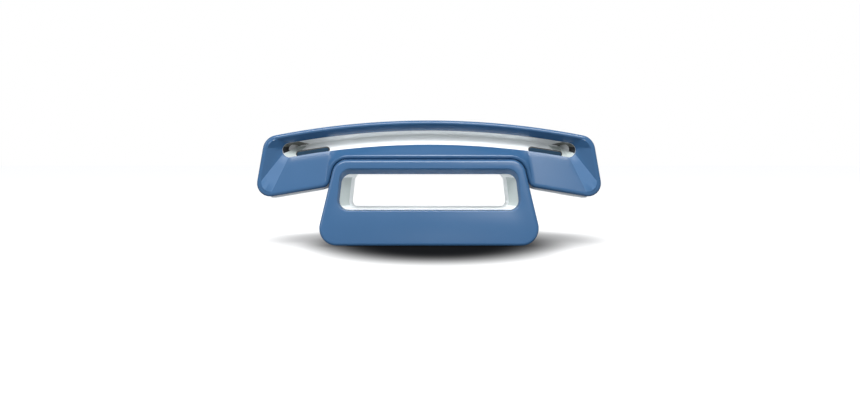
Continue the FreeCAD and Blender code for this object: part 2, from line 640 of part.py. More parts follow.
def cradle():
    body = new_body("cradle")
    flange = [rectangle("-(cradle_half + 2)", "cradle_half + 2", "-(cradle_deep + 1.2)", "cradle_deep + 1.2")]
    feature(body, "Pad", add_sketch(body, "XY_Plane", flange, lift="cradle_floor"), "cradle_wall")
    tray = [rectangle("-cradle_half", "cradle_half", "-cradle_deep", "cradle_deep")]
    feature(body, "Pad", add_sketch(body, "XY_Plane", tray, lift="cradle_floor + 0.5"),
            "base_top - cradle_floor - 0.5")
    soften(body, "3", lambda e: runs_along(e, ALONG_Z) and e.BoundBox.ZMax > worth("base_top - 1"))
    inside = [rectangle("-(cradle_half - cradle_wall)", "cradle_half - cradle_wall",
                        "-(cradle_deep - cradle_wall)", "cradle_deep - cradle_wall")]
    feature(body, "Pocket", add_sketch(body, "XY_Plane", inside, lift="base_top + 1"),
            "base_top - cradle_floor - cradle_wall + 1")
    holes = [("contact_across", f"{j}contact_along", "pin_radius + 0.1") for j in ("", "-")]
    feature(body, "Pocket", add_sketch(body, "XY_Plane", circles=holes, lift="cradle_floor - 1"),
            "wall + 2", reverse=True)
    return body


HOLDER_LOW = "(window_top + lining_wall + 0.2)"
FLANGE_TOP = "(cradle_floor - 0.15)"


def contact_holder():
    body = block("contact_holder", "contact_across - 4.4", "contact_across + 4.4", "-(contact_along + 4)",
                 "contact_along + 4", HOLDER_LOW, "cradle_floor - 0.05")
    wells = [("contact_across", f"{j}contact_along", "pin_radius + 1.1") for j in ("", "-")]
    feature(body, "Pocket", add_sketch(body, "XY_Plane", circles=wells, lift="cradle_floor + 1"),
            f"cradle_floor + 1 - {HOLDER_LOW} - 0.5")
    leaves = [solid("Cylinder", "Leaf", spot("contact_across", f"{j}contact_along", f"{HOLDER_LOW} + 0.5"),
                    Radius="pin_radius + 0.7", Height="0.25") for j in ("", "-")]
    group("contact_springs", leaves)


def charging_pin(label, side):
    body = new_body(label)
    along = f"{side}contact_along"
    shank = add_sketch(body, "XY_Plane", circles=[("contact_across", along, "pin_radius")],
                       lift=f"{FLANGE_TOP} - 0.7")
    feature(body, "Pad", shank, f"{PANEL_LOW} - 0.1 - ({FLANGE_TOP} - 0.7)")
    soften(body, "pin_radius * 0.8",
           lambda e: abs(e.firstVertex().Point.z - worth(f"{PANEL_LOW} - 0.1")) < 0.01)
    flange = add_sketch(body, "XY_Plane", circles=[("contact_across", along, "pin_radius + 0.8")],
                        lift=f"{FLANGE_TOP} - 0.7")
    feature(body, "Pad", flange, "0.7")


cradle()
contact_holder()
charging_pin("charging_pin_front", "-")
charging_pin("charging_pin_rear", "")


# ---------------------------------------------------------------- handset shells

def handset_outline():
    """The side view, anticlockwise from the left ear's inner lower corner, with sharp corners."""
    return [(f"-{HEEL_REACH}", "heel_high"), (f"-{SHOULDER_REACH}", RIM), (SHOULDER_REACH, RIM),
            (HEEL_REACH, "heel_high"), ("tip_reach", "tip_low"),
            ("corner_reach", CORNER_HIGH, "arch_radius"), ("-corner_reach", CORNER_HIGH),
            ("-tip_reach", "tip_low")]


def slot_outline(out="0"):
    """The slot's lip: two arcs that run with the back, closed by rounded ends."""
    end = "slot_end"
    upper, lower = f"slot_rail - ({out})", f"slot_rail + slot_tall + ({out})"
    return [(f"-{end}", arch_height(lower, end), f"-(arch_radius - ({lower}))"),
            (end, arch_height(lower, end), f"slot_round + ({out})"),
            (end, arch_height(upper, end), f"arch_radius - ({upper})"),
            (f"-{end}", arch_height(upper, end), f"slot_round + ({out})")]


def outer_wire(body, inset):
    """The rounded side view's own edges at the rim, moved inwards, in the plane y = 0."""
    section = body.Shape.slice(ALONG_Y, -worth("grip_deep / 2"))[0]
    section = Part.Wire(Part.__sortEdges__(section.Edges))
    section.translate(Vector(0, worth("grip_deep / 2"), 0))
    return section if not inset else section.makeOffset2D(-inset, 0, False, False)


def handset_shell(label, placement=None):
    body = doc.addObject("PartDesign::Body", label + "_moulding")
    feature(body, "Pad", add_sketch(body, "XZ_Plane", [handset_outline()]), "grip_deep")
    for radius, across, up in (("corner_round", "corner_reach", CORNER_HIGH),
                               ("tip_round", "tip_reach", "tip_low"),
                               ("heel_round", HEEL_REACH, "heel_high"),
                               ("crown_round + seat_gap", SHOULDER_REACH, RIM)):
        soften(body, radius, lambda e, a=across, u=up: runs_along(e, ALONG_Y) and at_corner(e, a, u))
    rim = outer_wire(body, worth("cheek_rim"))
    soften(body, "rim_round", lambda e: all(abs(v.Point.y + worth("grip_deep")) < 0.01 for v in e.Vertexes))
    # the hollow, open to the parting plane and downwards between the ear tips
    side = f"({ARCH_CENTRE} + sqrt((arch_radius - grip_wall)^2 - (corner_reach - 6)^2))"
    hollow = [("-(tip_reach - 10.2)", "tip_low - 10"), ("tip_reach - 10.2", "tip_low - 10"),
              ("tip_reach - 10.2", "tip_low + 4.5"), ("tip_reach - 4.6", "tip_low + 11.5"),
              ("corner_reach - 1.4", f"{CORNER_HIGH} - 8"),
              ("corner_reach - 6", side, "arch_radius - grip_wall"), ("-(corner_reach - 6)", side),
              ("-(corner_reach - 1.4)", f"{CORNER_HIGH} - 8"), ("-(tip_reach - 4.6)", "tip_low + 11.5"),
              ("-(tip_reach - 10.2)", "tip_low + 4.5")]
    feature(body, "Pocket", add_sketch(body, "XZ_Plane", [hollow]),
            f"{LIP_DEEP} - grip_wall", reverse=True)
    # the rebate that takes the white inner face
    step = "(face_sunk + face_thick + 0.2)"
    over = f"(foot_half - ({RIM} + {step} - 4) * tan(side_lean) + seat_gap + {step} / cos(side_lean))"
    heel = f"({HEEL_REACH} + {step})"
    rise = f"(heel_high + {step} * 1.1)"
    end = "(tip_reach - 10.2)"
    end_high = f"(tip_low + ({HEEL_REACH} - {end} + tip_reach - {HEEL_REACH}) * tan({EAR_TILT}) + {step})"
    rebate = [(f"-{end}", "tip_low - 10"), (end, "tip_low - 10"), (end, end_high), (heel, rise),
              (over, f"({RIM} + {step} - 4)"), (f"({over} - 4)", f"({RIM} + {step})"),
              (f"-({over} - 4)", f"({RIM} + {step})"), (f"-{over}", f"({RIM} + {step} - 4)"),
              (f"-{heel}", rise), (f"-{end}", end_high)]
    feature(body, "Pocket", add_sketch(body, "XZ_Plane", [rebate]), "face_half + 0.1", reverse=True)
    # the funnel that leads from the rim to the slot's lip, and the slot through the wall
    funnel = doc.addObject("Part::Feature", "Funnel")
    funnel.Shape = funnel_cutter(rim, worth("cheek_deep"))
    shell = doc.addObject("Part::Cut", label)
    shell.Label = label
    shell.Base, shell.Tool = body, funnel
    if placement is not None:
        shell.Placement = placement
    pieces.append(shell)
    doc.recompute()
    return shell


def bowed_edges(corners):
    """The edges of an outline of arcs, in the plane y = 0."""
    spots = [Vector(worth(c[0]), 0, worth(c[1])) for c in corners]
    edges = []
    for i, corner in enumerate(corners):
        start, end = spots[i], spots[(i + 1) % len(spots)]
        bow = worth(corner[2])
        chord = end - start
        left = Vector(-chord.z, 0, chord.x).normalize()
        middle = (start + end) * 0.5
        centre = middle + left * math.copysign(math.sqrt(bow**2 - (chord.Length / 2) ** 2), bow)
        crown = centre + (middle - centre).normalize() * abs(bow)
        edges.append(Part.Arc(start, crown, end))
    return edges


def part_of(arc, start, end):
    """The piece of an arc between two shares of its length."""
    first, last = arc.FirstParameter, arc.LastParameter
    at = [first + (last - first) * share for share in (start, (start + end) / 2, end)]
    return Part.Arc(*[arc.value(t) for t in at]).toShape()


def funnel_cutter(rim, depth):
    """A solid whose near end is the rim's inner line and whose far end is the slot's lip, with one facet for
    each edge of the rim, and the slot's hole through the wall behind it."""
    lower, right_end, upper, left_end = bowed_edges(slot_outline("lining_wall + fit"))
    half = lower.value(lower.LastParameter).x
    ordered = rim.OrderedEdges
    top = max(range(len(ordered)), key=lambda i: ordered[i].CenterOfMass.z)
    ordered = ordered[top:] + ordered[:top]
    if ordered[1].CenterOfMass.x > 0:
        ordered = [ordered[0]] + ordered[:0:-1]
    # along the lower arc, each facet ends straight inwards from the rim's own corner
    below = ordered[4:13]
    stops = [-half] + [0.0] * (len(below) - 1) + [half]
    for i, (edge, after) in enumerate(zip(below, below[1:]), start=1):
        shared = min(((p, q) for p in edge.Vertexes for q in after.Vertexes),
                     key=lambda pair: pair[0].Point.distanceToPoint(pair[1].Point))
        stops[i] = shared[0].Point.x * 0.97
    shares = [(x + half) / (2 * half) for x in stops]
    lip = [part_of(upper, 0, 1)]
    lip += [part_of(left_end, i / 3, (i + 1) / 3) for i in range(3)]
    lip += [part_of(lower, a, b) for a, b in zip(shares, shares[1:])]
    lip += [part_of(right_end, i / 3, (i + 1) / 3) for i in range(3)]
    mouth = [edge.translated(Vector(0, -worth("grip_deep"), 0)) for edge in ordered]
    lip = [edge.translated(Vector(0, -worth("grip_deep") + depth, 0)) for edge in lip]
    mouth_wire = Part.Wire(Part.__sortEdges__(mouth))
    lip_wire = Part.Wire(Part.__sortEdges__(lip))
    hole = Part.Face(lip_wire).extrude(Vector(0, worth("grip_wall") + 1, 0))
    faces = [Part.makeRuledSurface(a, b) for a, b in zip(mouth, lip)]
    faces += [Part.Face(mouth_wire), Part.Face(lip_wire)]
    sewn = Part.makeShell(faces)
    sewn.sewShape()
    cone = Part.makeSolid(sewn)
    if cone.Volume < 0:
        cone.reverse()
    return cone.fuse(hole)


handset_shell("handset_front_shell")
handset_shell("handset_rear_shell", HALF_TURN)


# ---------------------------------------------------------------- slot linings and the pads in them

def throat_outline(out="0"):
    """The slot's flat bottom, a narrow band that runs with the back."""
    end = f"(throat_half + {out})"
    upper = f"slot_rail + throat_at - {out}"
    lower = f"slot_rail + throat_at + throat_tall + {out}"
    cap = f"(throat_tall + {out})"
    return [(f"-{end}", arch_height(lower, end), f"-(arch_radius - ({lower}))"),
            (end, arch_height(lower, end), cap),
            (end, arch_height(upper, end), f"arch_radius - ({upper})"),
            (f"-{end}", arch_height(upper, end), cap)]


PAD_LINE = arch_height("slot_rail + slot_tall", "pad_across")
PAD_TURN = "asin(pad_across / (arch_radius - slot_rail - slot_tall))"


def pad_corners(side, room="0"):
    """A pad's outline, turned to run with the slot's lower lip."""
    corners = []
    for across, up in ((-1, -1), (1, -1), (1, 1), (-1, 1)):
        u = f"({across} * (pad_wide / 2 + {room}))"
        v = f"(pad_proud + {room})" if up > 0 else f"(-pad_sunk - {room})"
        corners.append((f"{side} * pad_across + {u} * cos({PAD_TURN}) + {side} * {v} * sin({PAD_TURN})",
                        f"{PAD_LINE} - {side} * {u} * sin({PAD_TURN}) + {v} * cos({PAD_TURN})"))
    return corners


def slot_lining(label, placement=None):
    body = new_body(label, placement)
    front, back = LIP_DEEP, f"({LIP_DEEP} - slot_deep)"
    lip = add_sketch(body, "XZ_Plane", [slot_outline("lining_wall")], lift=front)
    core = add_sketch(body, "XZ_Plane", [throat_outline("lining_wall")], lift=f"{back} - lining_wall")
    loft(body, "Additive", [lip, core])
    mouth = add_sketch(body, "XZ_Plane", [slot_outline()], lift=front)
    throat = add_sketch(body, "XZ_Plane", [throat_outline()], lift=back)
    loft(body, "Subtractive", [mouth, throat])
    for side in (-1, 1):
        notch = add_sketch(body, "XZ_Plane", [pad_corners(side, "0.1")],
                           lift=f"{front} - 0.8 - pad_thick - 0.1")
        feature(body, "Pocket", notch, "pad_thick + 0.2", reverse=True)
    return body


def slot_pads(label, placement=None):
    """Two pads that stand in the slot; each is a separate solid of one group."""
    members = []
    for side in (-1, 1):
        body = doc.addObject("PartDesign::Body", "Pad")
        outline = add_sketch(body, "XZ_Plane", [pad_corners(side)], lift=f"{LIP_DEEP} - 0.8 - pad_thick")
        feature(body, "Pad", outline, "pad_thick")
        soften(body, "1.6", lambda e: runs_along(e, ALONG_Y) and e.firstVertex().Point.z > body_middle(body))
        members.append(body)
    made = group(label, members)
    if placement is not None:
        made.Placement = placement


def body_middle(body):
    return body.Shape.CenterOfMass.z


slot_lining("slot_lining_front")
slot_lining("slot_lining_rear", HALF_TURN)
slot_pads("slot_pads_front")
slot_pads("slot_pads_rear", HALF_TURN)


# ---------------------------------------------------------------- the white inner face

def key_places():
    """Row and column of each key, from the display's end to the mouthpiece's."""
    names = ["menu", "up", "clear", "talk", "down", "end", "1", "2", "3", "4", "5", "6", "7", "8", "9",
             "star", "0", "hash"]
    for i, name in enumerate(names):
        row, column = divmod(i, 3)
        yield name, f"(key_first + {row} * key_step)", f"({1 - column} * key_column)"


def keypad_panel():
    body = new_body("keypad_panel")
    outline = rectangle("-panel_half", "panel_half", "-face_half", "face_half")
    feature(body, "Pad", add_sketch(body, "XY_Plane", [outline], lift=PANEL_LOW), "face_thick")
    soften(body, "1.5", lambda e: runs_along(e, ALONG_Z))
    for _, row, column in key_places():
        hole = rounded(f"{row} - key_long / 2 - fit", f"{row} + key_long / 2 + fit",
                       f"{column} - key_wide / 2 - fit", f"{column} + key_wide / 2 + fit", "(key_round + fit)")
        feature(body, "Pocket", add_sketch(body, "XY_Plane", [hole], lift=PANEL_LOW), "face_thick + 1",
                reverse=True)
    window = rectangle("-lens_at - lens_long / 2 - fit", "-lens_at + lens_long / 2 + fit",
                       "-lens_wide / 2 - fit", "lens_wide / 2 + fit")
    feature(body, "Pocket", add_sketch(body, "XY_Plane", [window], lift=PANEL_LOW), "face_thick + 1",
            reverse=True)
    strips = [("contact_across", f"{j}contact_along", "pin_radius + 1.1") for j in ("", "-")]
    feature(body, "Pocket", add_sketch(body, "XY_Plane", circles=strips, lift=PANEL_LOW), "0.6", reverse=True)
    return body


def charging_studs():
    studs = [solid("Cylinder", "Stud", spot("contact_across", f"{j}contact_along", PANEL_LOW),
                   Radius="pin_radius + 1", Height="0.55") for j in ("", "-")]
    group("charging_studs", studs)


def shoulder(high, inward="0"):
    """Reach of the handset's inner side wall at a height, moved into the handset."""
    return f"(foot_half - ({high}) * tan(side_lean) + seat_gap + ({inward}) / cos(side_lean))"


def ear_line(across, up="0"):
    """Height of an ear's lower edge, which rises from the tip to the heel."""
    return f"(tip_low + (tip_reach - ({across})) * tan({EAR_TILT}) + ({up}))"


FACE_END = "(tip_reach - 10.4)"
FACE_HEEL = "(heel_high - 0.4)"


def ear_face(label, side):
    """The white face of one ear: a plate across its tip, the wall beside the base, and the corner that leads
    to the keypad panel."""
    body = new_body(label, HALF_TURN if side > 0 else None)
    heel_out = shoulder(FACE_HEEL, "face_sunk")
    inner_top = f"({PANEL_LOW} + face_thick)"
    knee = "5"
    outline = [
        (f"-{FACE_END}", ear_line(FACE_END, "1.0 - face_thick")),
        (f"-({FACE_END} - 3)", ear_line(f"({FACE_END} - 3)", "-face_bulge")),
        (f"-({heel_out} + 3)", ear_line(f"({heel_out} + 3)", "-face_bulge")),
        (f"-{heel_out}", f"({FACE_HEEL} + 1.6)"),
        (f"-{shoulder(f'({PANEL_LOW} - {knee})', 'face_sunk')}", f"({PANEL_LOW} - {knee})"),
        (f"-({shoulder(PANEL_LOW, 'face_sunk')} - {knee})", PANEL_LOW),
        ("-(panel_half + 0.1)", PANEL_LOW), ("-(panel_half + 0.1)", inner_top),
        (f"-({shoulder(PANEL_LOW, 'face_sunk')} - {knee} + 0.6)", inner_top),
        (f"-({shoulder(f'({PANEL_LOW} - {knee})', 'face_sunk')} + face_thick)", f"({PANEL_LOW} - {knee} + 0.6)"),
        (f"-({heel_out} + face_thick)", f"({FACE_HEEL} + 2.8)"),
        (f"-({heel_out} + 2.4)", ear_line(f"({heel_out} + 2.4)", "face_thick - face_bulge")),
        (f"-({FACE_END} - 3)", ear_line(f"({FACE_END} - 3)", "face_thick - face_bulge")),
        (f"-{FACE_END}", ear_line(FACE_END, "1.0")),
    ]
    feature(body, "Pad", add_sketch(body, "XZ_Plane", [outline[::-1]]), "2 * face_half", both=True)
    return body


def turn_about_y(across, high, angle):
    """A placement on an ear's face: its own +Z points into the ear."""
    return Placement(Vector(worth(across), 0, worth(high)), Rotation(ALONG_Y, worth(angle)))


keypad_panel()
charging_studs()
earpiece_face = ear_face("earpiece_face", -1)
mouthpiece_face = ear_face("mouthpiece_face", 1)

# sound holes: one ring inside another over the earpiece, a short row for the microphone
EAR_HIGH = ear_line("ear_at", "-face_bulge")
holes = []
for ring, count in ((0, 1), (3.2, 6), (6.4, 12), (9.6, 18)):
    for i in range(count):
        angle = 2 * math.pi * i / count
        holes.append((f"-ear_at + {ring * math.cos(angle):.4f}", f"{ring * math.sin(angle):.4f}", "0.65"))
sound = add_sketch(earpiece_face, "XY_Plane", circles=holes, lift=f"{EAR_HIGH} - 6")
feature(earpiece_face, "Pocket", sound, "12", reverse=True)
MIC_AT = "(ear_at - door_long / 2 - 2.9)"
vents = [(f"-{MIC_AT}", f"{3 * i}", "0.6") for i in (-1, 0, 1)]
mic_holes = add_sketch(mouthpiece_face, "XY_Plane", circles=vents, lift=f"{EAR_HIGH} - 6")
feature(mouthpiece_face, "Pocket", mic_holes, "12", reverse=True)
# the opening that the battery door closes
doorway = [rectangle("-(ear_at + door_long / 2 + fit)", "-(ear_at - door_long / 2 - fit)",
                     "-(door_wide / 2 + fit)", "door_wide / 2 + fit")]
feature(mouthpiece_face, "Pocket", add_sketch(mouthpiece_face, "XY_Plane", doorway, lift=f"{EAR_HIGH} - 6"),
        "12", reverse=True)


# ---------------------------------------------------------------- in the ears

def ear_disc(label, radius, low, tall, hollow=None):
    """A round piece on the earpiece's axis, measured from the outside of its face."""
    body = new_body(label, turn_about_y("-ear_at", EAR_HIGH, f"-{EAR_TILT}"))
    disc = add_sketch(body, "XY_Plane", circles=[("0", "0", radius)], lift=low)
    feature(body, "Pad", disc, tall)
    if hollow is not None:
        ring = add_sketch(body, "XY_Plane", circles=[("0", "0", hollow)], lift=f"{low} - 1")
        feature(body, "Pocket", ring, f"{tall} + 2", reverse=True)
    return body


ear_disc("earpiece_gasket", "speaker_radius - 0.4", "face_thick + 0.05", "1.0", "speaker_radius - 2.2")
ear_disc("earpiece_speaker", "speaker_radius", "face_thick + 1.1", "speaker_tall")


def mouth_block(label, long, wide, low, top, shift="0"):
    """A box on the battery bay's axis, measured from the outside of the mouthpiece's face."""
    place = turn_about_y("ear_at", EAR_HIGH, EAR_TILT)
    return block(label, f"{shift} - ({long}) / 2", f"{shift} + ({long}) / 2", f"-({wide}) / 2",
                 f"({wide}) / 2", low, top, place)


mouth_block("battery_door", "door_long - 0.3", "door_wide", "0", "face_thick")
mouth_block("battery_pack", "cell_long", "cell_wide", "face_thick + 0.3", "face_thick + 0.3 + cell_tall")
tray = mouth_block("battery_tray", "cell_long + 2.8", "cell_wide + 2.4", "face_thick + 0.25",
                   "face_thick + 0.3 + cell_tall + 1.4")
bay = [rectangle("-(cell_long + 0.4) / 2", "(cell_long + 0.4) / 2",
                 "-(cell_wide + 0.4) / 2", "(cell_wide + 0.4) / 2")]
feature(tray, "Pocket", add_sketch(tray, "XY_Plane", bay, lift="0"),
        "face_thick + 0.35 + cell_tall", reverse=True)


def microphone():
    high = ear_line(MIC_AT, "face_thick - face_bulge + 0.2")
    body = new_body("microphone", turn_about_y(MIC_AT, high, EAR_TILT))
    disc = add_sketch(body, "XY_Plane", circles=[("0", "0", "1.8")])
    feature(body, "Pad", disc, "2.2")


microphone()


# ---------------------------------------------------------------- display, board, mat and keys

block("display_lens",
      "-lens_at - lens_long / 2", "-lens_at + lens_long / 2", "-lens_wide / 2", "lens_wide / 2",
      f"{PANEL_LOW} + 0.1", PANEL_TOP)
block("display_module",
      "-lens_at - lens_long / 2 + 0.5", "-lens_at + lens_long / 2 - 0.5", "-card_half + 0.4",
      "card_half - 0.4", f"{PANEL_TOP} + 0.1", f"{CARD_LOW} - 0.05")
block("key_mat", "key_first - key_long / 2 - 1.5", "key_first + 5 * key_step + key_long / 2 + 1.5",
      "-card_half + 0.4", "card_half - 0.4", MAT_LOW, CARD_LOW)
block("handset_board", "-panel_half + 1", "panel_half - 1", "-card_half", "card_half", CARD_LOW,
      f"{CARD_LOW} + card_thick")


def key(name, row, column):
    body = new_body(f"key_{name}", spot(row, column, PANEL_LOW))
    bind(body, Placement__Base__x=row, Placement__Base__y=column, Placement__Base__z=PANEL_LOW)
    cap = rounded("-key_long / 2", "key_long / 2", "-key_wide / 2", "key_wide / 2", "key_round")
    feature(body, "Pad", add_sketch(body, "XY_Plane", [cap], lift="-key_proud"),
            "key_proud + face_thick + 0.15")
    flange = rectangle("-key_long / 2 - key_flange", "key_long / 2 + key_flange",
                       "-key_wide / 2 - key_flange", "key_wide / 2 + key_flange")
    feature(body, "Pad", add_sketch(body, "XY_Plane", [flange], lift="face_thick + 0.1"), "key_flange")
    soften(body, "0.5", lambda e: e.BoundBox.ZMax < worth("0.01 - key_proud"))
    return body


for key_name, key_row, key_column in key_places():
    key(key_name, key_row, key_column)


# ---------------------------------------------------------------- check and write

doc.recompute()
for thing in doc.Objects:
    if "Invalid" in thing.State or "Error" in thing.State:
        raise RuntimeError(f"{thing.Name} {thing.Label}: {thing.State}")
for piece in pieces:
    if piece.Shape.isNull() or not piece.Shape.isValid():
        raise RuntimeError(f"{piece.Label} has no valid shape")
os.makedirs("parts", exist_ok=True)
for piece in pieces:
    piece.Shape.exportStep(f"parts/{piece.Label}.step")
print(len(pieces), "sub-parts written")
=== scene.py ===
import math

import bmesh
import bpy
from mathutils import Matrix, Vector
from mathutils.kdtree import KDTree


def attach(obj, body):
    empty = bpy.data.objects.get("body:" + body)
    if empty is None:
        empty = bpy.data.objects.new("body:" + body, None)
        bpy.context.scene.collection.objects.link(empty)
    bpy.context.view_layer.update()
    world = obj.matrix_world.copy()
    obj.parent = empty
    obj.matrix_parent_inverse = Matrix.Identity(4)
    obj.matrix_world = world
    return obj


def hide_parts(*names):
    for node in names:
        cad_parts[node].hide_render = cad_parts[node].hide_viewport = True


# A compact cordless table phone: an arched handset with a grip slot in each side lies across a low charging
# base with a window through it. Sizes are in millimetres and turn into metres when a mesh is made.
# +X runs from the earpiece to the mouthpiece, -Y is the front, +Z is up, and the feet stand on z = 0.

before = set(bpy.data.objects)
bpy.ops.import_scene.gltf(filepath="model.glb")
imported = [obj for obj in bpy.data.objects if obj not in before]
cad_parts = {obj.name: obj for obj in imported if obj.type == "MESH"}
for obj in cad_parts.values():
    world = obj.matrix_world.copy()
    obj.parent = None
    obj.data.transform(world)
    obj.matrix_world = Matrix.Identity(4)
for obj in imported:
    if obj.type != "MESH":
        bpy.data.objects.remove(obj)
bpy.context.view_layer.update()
MM = 0.001

# ---------------------------------------------------------------- sizes, most shared with the CAD model

# the base: its foot, its leaning sides and faces, its rounds, and the window with its funnel and white sleeve
FOOT_HALF, FOOT_DEEP, BASE_TOP, SHELL_LOW = 68.7, 38.0, 52.3, 0.8
SIDE_LEAN, FACE_LEAN = math.radians(12.9), math.radians(10.5)
FOOT_ROUND, CROWN_ROUND, RIM_ROUND, WALL = 10.5, 9.0, 1.8, 2.4
WINDOW_LOW, WINDOW_TOP, PILLAR_LOW, PILLAR_TOP = 22.1, 43.3, 11.3, 8.7
FUNNEL_DEEP, FUNNEL_TOP, FUNNEL_EDGE, MOUTH_FLARE = 4.0, 2.2, 1.1, 2.3
WINDOW_ROUND, LINING_WALL, LINING_BULGE, FIT = 4.6, 1.2, 4.0, 0.15
# the gaps between the base and the handset that rests on it
REST_GAP, SEAT_GAP = 0.08, 0.6
# the handset: its arched back, ears, cheeks, and the grip slot with its bottom line and its pads
ARCH_RADIUS, ARCH_TOP, CORNER_REACH = 488.0, 76.1, 99.9
TIP_REACH, TIP_LOW, HEEL_HIGH = 106.5, 27.9, 35.7
CORNER_ROUND, TIP_ROUND, HEEL_ROUND = 9.5, 8.0, 5.0
GRIP_DEEP, GRIP_WALL, CHEEK_DEEP, CHEEK_RIM = 25.0, 2.2, 5.0, 2.2
SLOT_RAIL, SLOT_TALL, SLOT_END, SLOT_ROUND = 6.2, 8.4, 85.7, 4.3
THROAT_AT, THROAT_HALF, THROAT_TALL, SLOT_DEEP = 2.3, 79.5, 0.8, 10.0
PAD_ACROSS, PAD_WIDE, PAD_PROUD, PAD_SUNK, PAD_THICK = 71.0, 21.0, 2.8, 1.0, 4.4
FACE_HALF, FACE_REBATE, FACE_END, FACE_BULGE = 21.8, 2.4, 96.3, 1.3
# the openings for the bottom plate and the cradle tray
PLATE_HALF, PLATE_DEEP, CRADLE_HALF, CRADLE_DEEP = 53.0, 32.0, 46.0, 19.6
RIM = BASE_TOP + REST_GAP
ARCH_CENTRE = ARCH_TOP - ARCH_RADIUS
LIP_DEEP = GRIP_DEEP - CHEEK_DEEP
LIP_OUT, LIP_THICK = 0.1, 0.8
# the groove where two shells meet: depth from the parting plane, and how far in
GROOVE = ((0.0, 0.4), (0.3, 0.4), (0.42, 0.1), (0.55, 0.0))
# how finely rounded edges, the facets behind them and the openings' lips are divided
EDGE_STEPS, EDGE_SHARES, FACET_SHARES = 8, (0.2, 0.4, 0.6, 0.8, 1.0), (0.25, 0.5, 0.75, 1.0)
LIP_SHARES = (0.33, 0.66, 1.0)


def side_reach(high):
    """Half width of the base at a height."""
    return FOOT_HALF - high * math.tan(SIDE_LEAN)


def face_at(high, behind=0.0):
    """How far out the base's leaning face stands at a height, or a plane behind it."""
    return FOOT_DEEP - high * math.tan(FACE_LEAN) - behind / math.cos(FACE_LEAN)


# ---------------------------------------------------------------- outlines in the side view (x, z)

class Arc:
    """One rounded corner. Moving the outline inwards shrinks a convex corner and widens a hollow one."""

    def __init__(self, centre, radius, start, sweep):
        self.centre, self.radius, self.start, self.sweep = centre, radius, start, sweep

    def at(self, share, inset=0.0):
        radius = self.radius + math.copysign(inset, self.sweep)
        angle = self.start + self.sweep * share
        return self.centre + Vector((math.cos(angle), math.sin(angle))) * radius

    def split(self, share):
        cut = self.sweep * share
        return (Arc(self.centre, self.radius, self.start, cut),
                Arc(self.centre, self.radius, self.start + cut, self.sweep - cut))


def arc_between(centre, start, end):
    """The shorter arc from one point to another."""
    first, last = start - centre, end - centre
    begin = math.atan2(first.y, first.x)
    sweep = math.atan2(last.y, last.x) - begin
    return Arc(centre, first.length, begin, (sweep + math.pi) % (2 * math.pi) - math.pi)


def corner_arc(before, corner, after, radius):
    """The arc that rounds a corner between two straight edges."""
    back, on = (before - corner).normalized(), (after - corner).normalized()
    half = back.angle(on) / 2
    centre = corner + (back + on).normalized() * radius / math.sin(half)
    reach = radius / math.tan(half)
    return arc_between(centre, corner + back * reach, corner + on * reach)


def mirrored(arc):
    """The same arc on the other side of x = 0, run the same way round."""
    return Arc(Vector((-arc.centre.x, arc.centre.y)), arc.radius, math.pi - arc.start - arc.sweep, arc.sweep)


def polygon_arcs(corners, radii):
    """The rounded corners of a straight-sided outline."""
    count = len(corners)
    return [corner_arc(corners[i - 1], corners[i], corners[(i + 1) % count], radii[i]) for i in range(count)]


def oblong(left, right, low, high):
    """The corners of an upright box, clockwise from the upper left."""
    return [Vector((left, high)), Vector((right, high)), Vector((right, low)), Vector((left, low))]


def tapered(upper, lower, low, high):
    """The corners of a shape that is wider or narrower at the top, given its half widths."""
    return [Vector((-upper, high)), Vector((upper, high)), Vector((lower, low)), Vector((-lower, low))]


def even(count):
    """Shares of a straight run, without its two ends."""
    return [k / (count + 1) for k in range(1, count + 1)]


def trace(arcs, steps, runs, inset=0.0):
    """Points round an outline: each arc with its ends, then the shares of the straight run after it."""
    points = []
    for i, arc in enumerate(arcs):
        points += [arc.at(k / steps[i], inset) for k in range(steps[i] + 1)]
        start, end = points[-1], arcs[(i + 1) % len(arcs)].at(0, inset)
        points += [start.lerp(end, share) for share in runs[i]]
    return points


# ---------------------------------------------------------------- loops of points

def quarter(drop, inset, steps=EDGE_STEPS):
    """For each step round an edge, from its side to its face: how far back it is, and how far in."""
    turns = [math.pi / 2 * k / steps for k in range(steps + 1)]
    return [(drop * (1 - math.sin(turn)), inset * (1 - math.cos(turn))) for turn in turns]


def between(first, second, share):
    return [a.lerp(b, share) for a, b in zip(first, second)]


def towards(first, second, distance):
    return [a + (b - a).normalized() * distance for a, b in zip(first, second)]


def pushed(points, distance):
    return [point - Vector((0, distance, 0)) for point in points]


def bows(starts, corners, ends, shares):
    """Loops on the curves that round the corners between three loops."""
    return [[start.lerp(corner, share).lerp(corner.lerp(end, share), share)
             for start, corner, end in zip(starts, corners, ends)] for share in shares]


def in_3d(points, depth):
    return [Vector((p.x, depth, p.y)) for p in points]


def circle(radius, high, count):
    """A level circle round Z."""
    turns = [2 * math.pi * k / count for k in range(count)]
    return [Vector((radius * math.cos(turn), radius * math.sin(turn), high)) for turn in turns]


# ---------------------------------------------------------------- meshes drawn as loops

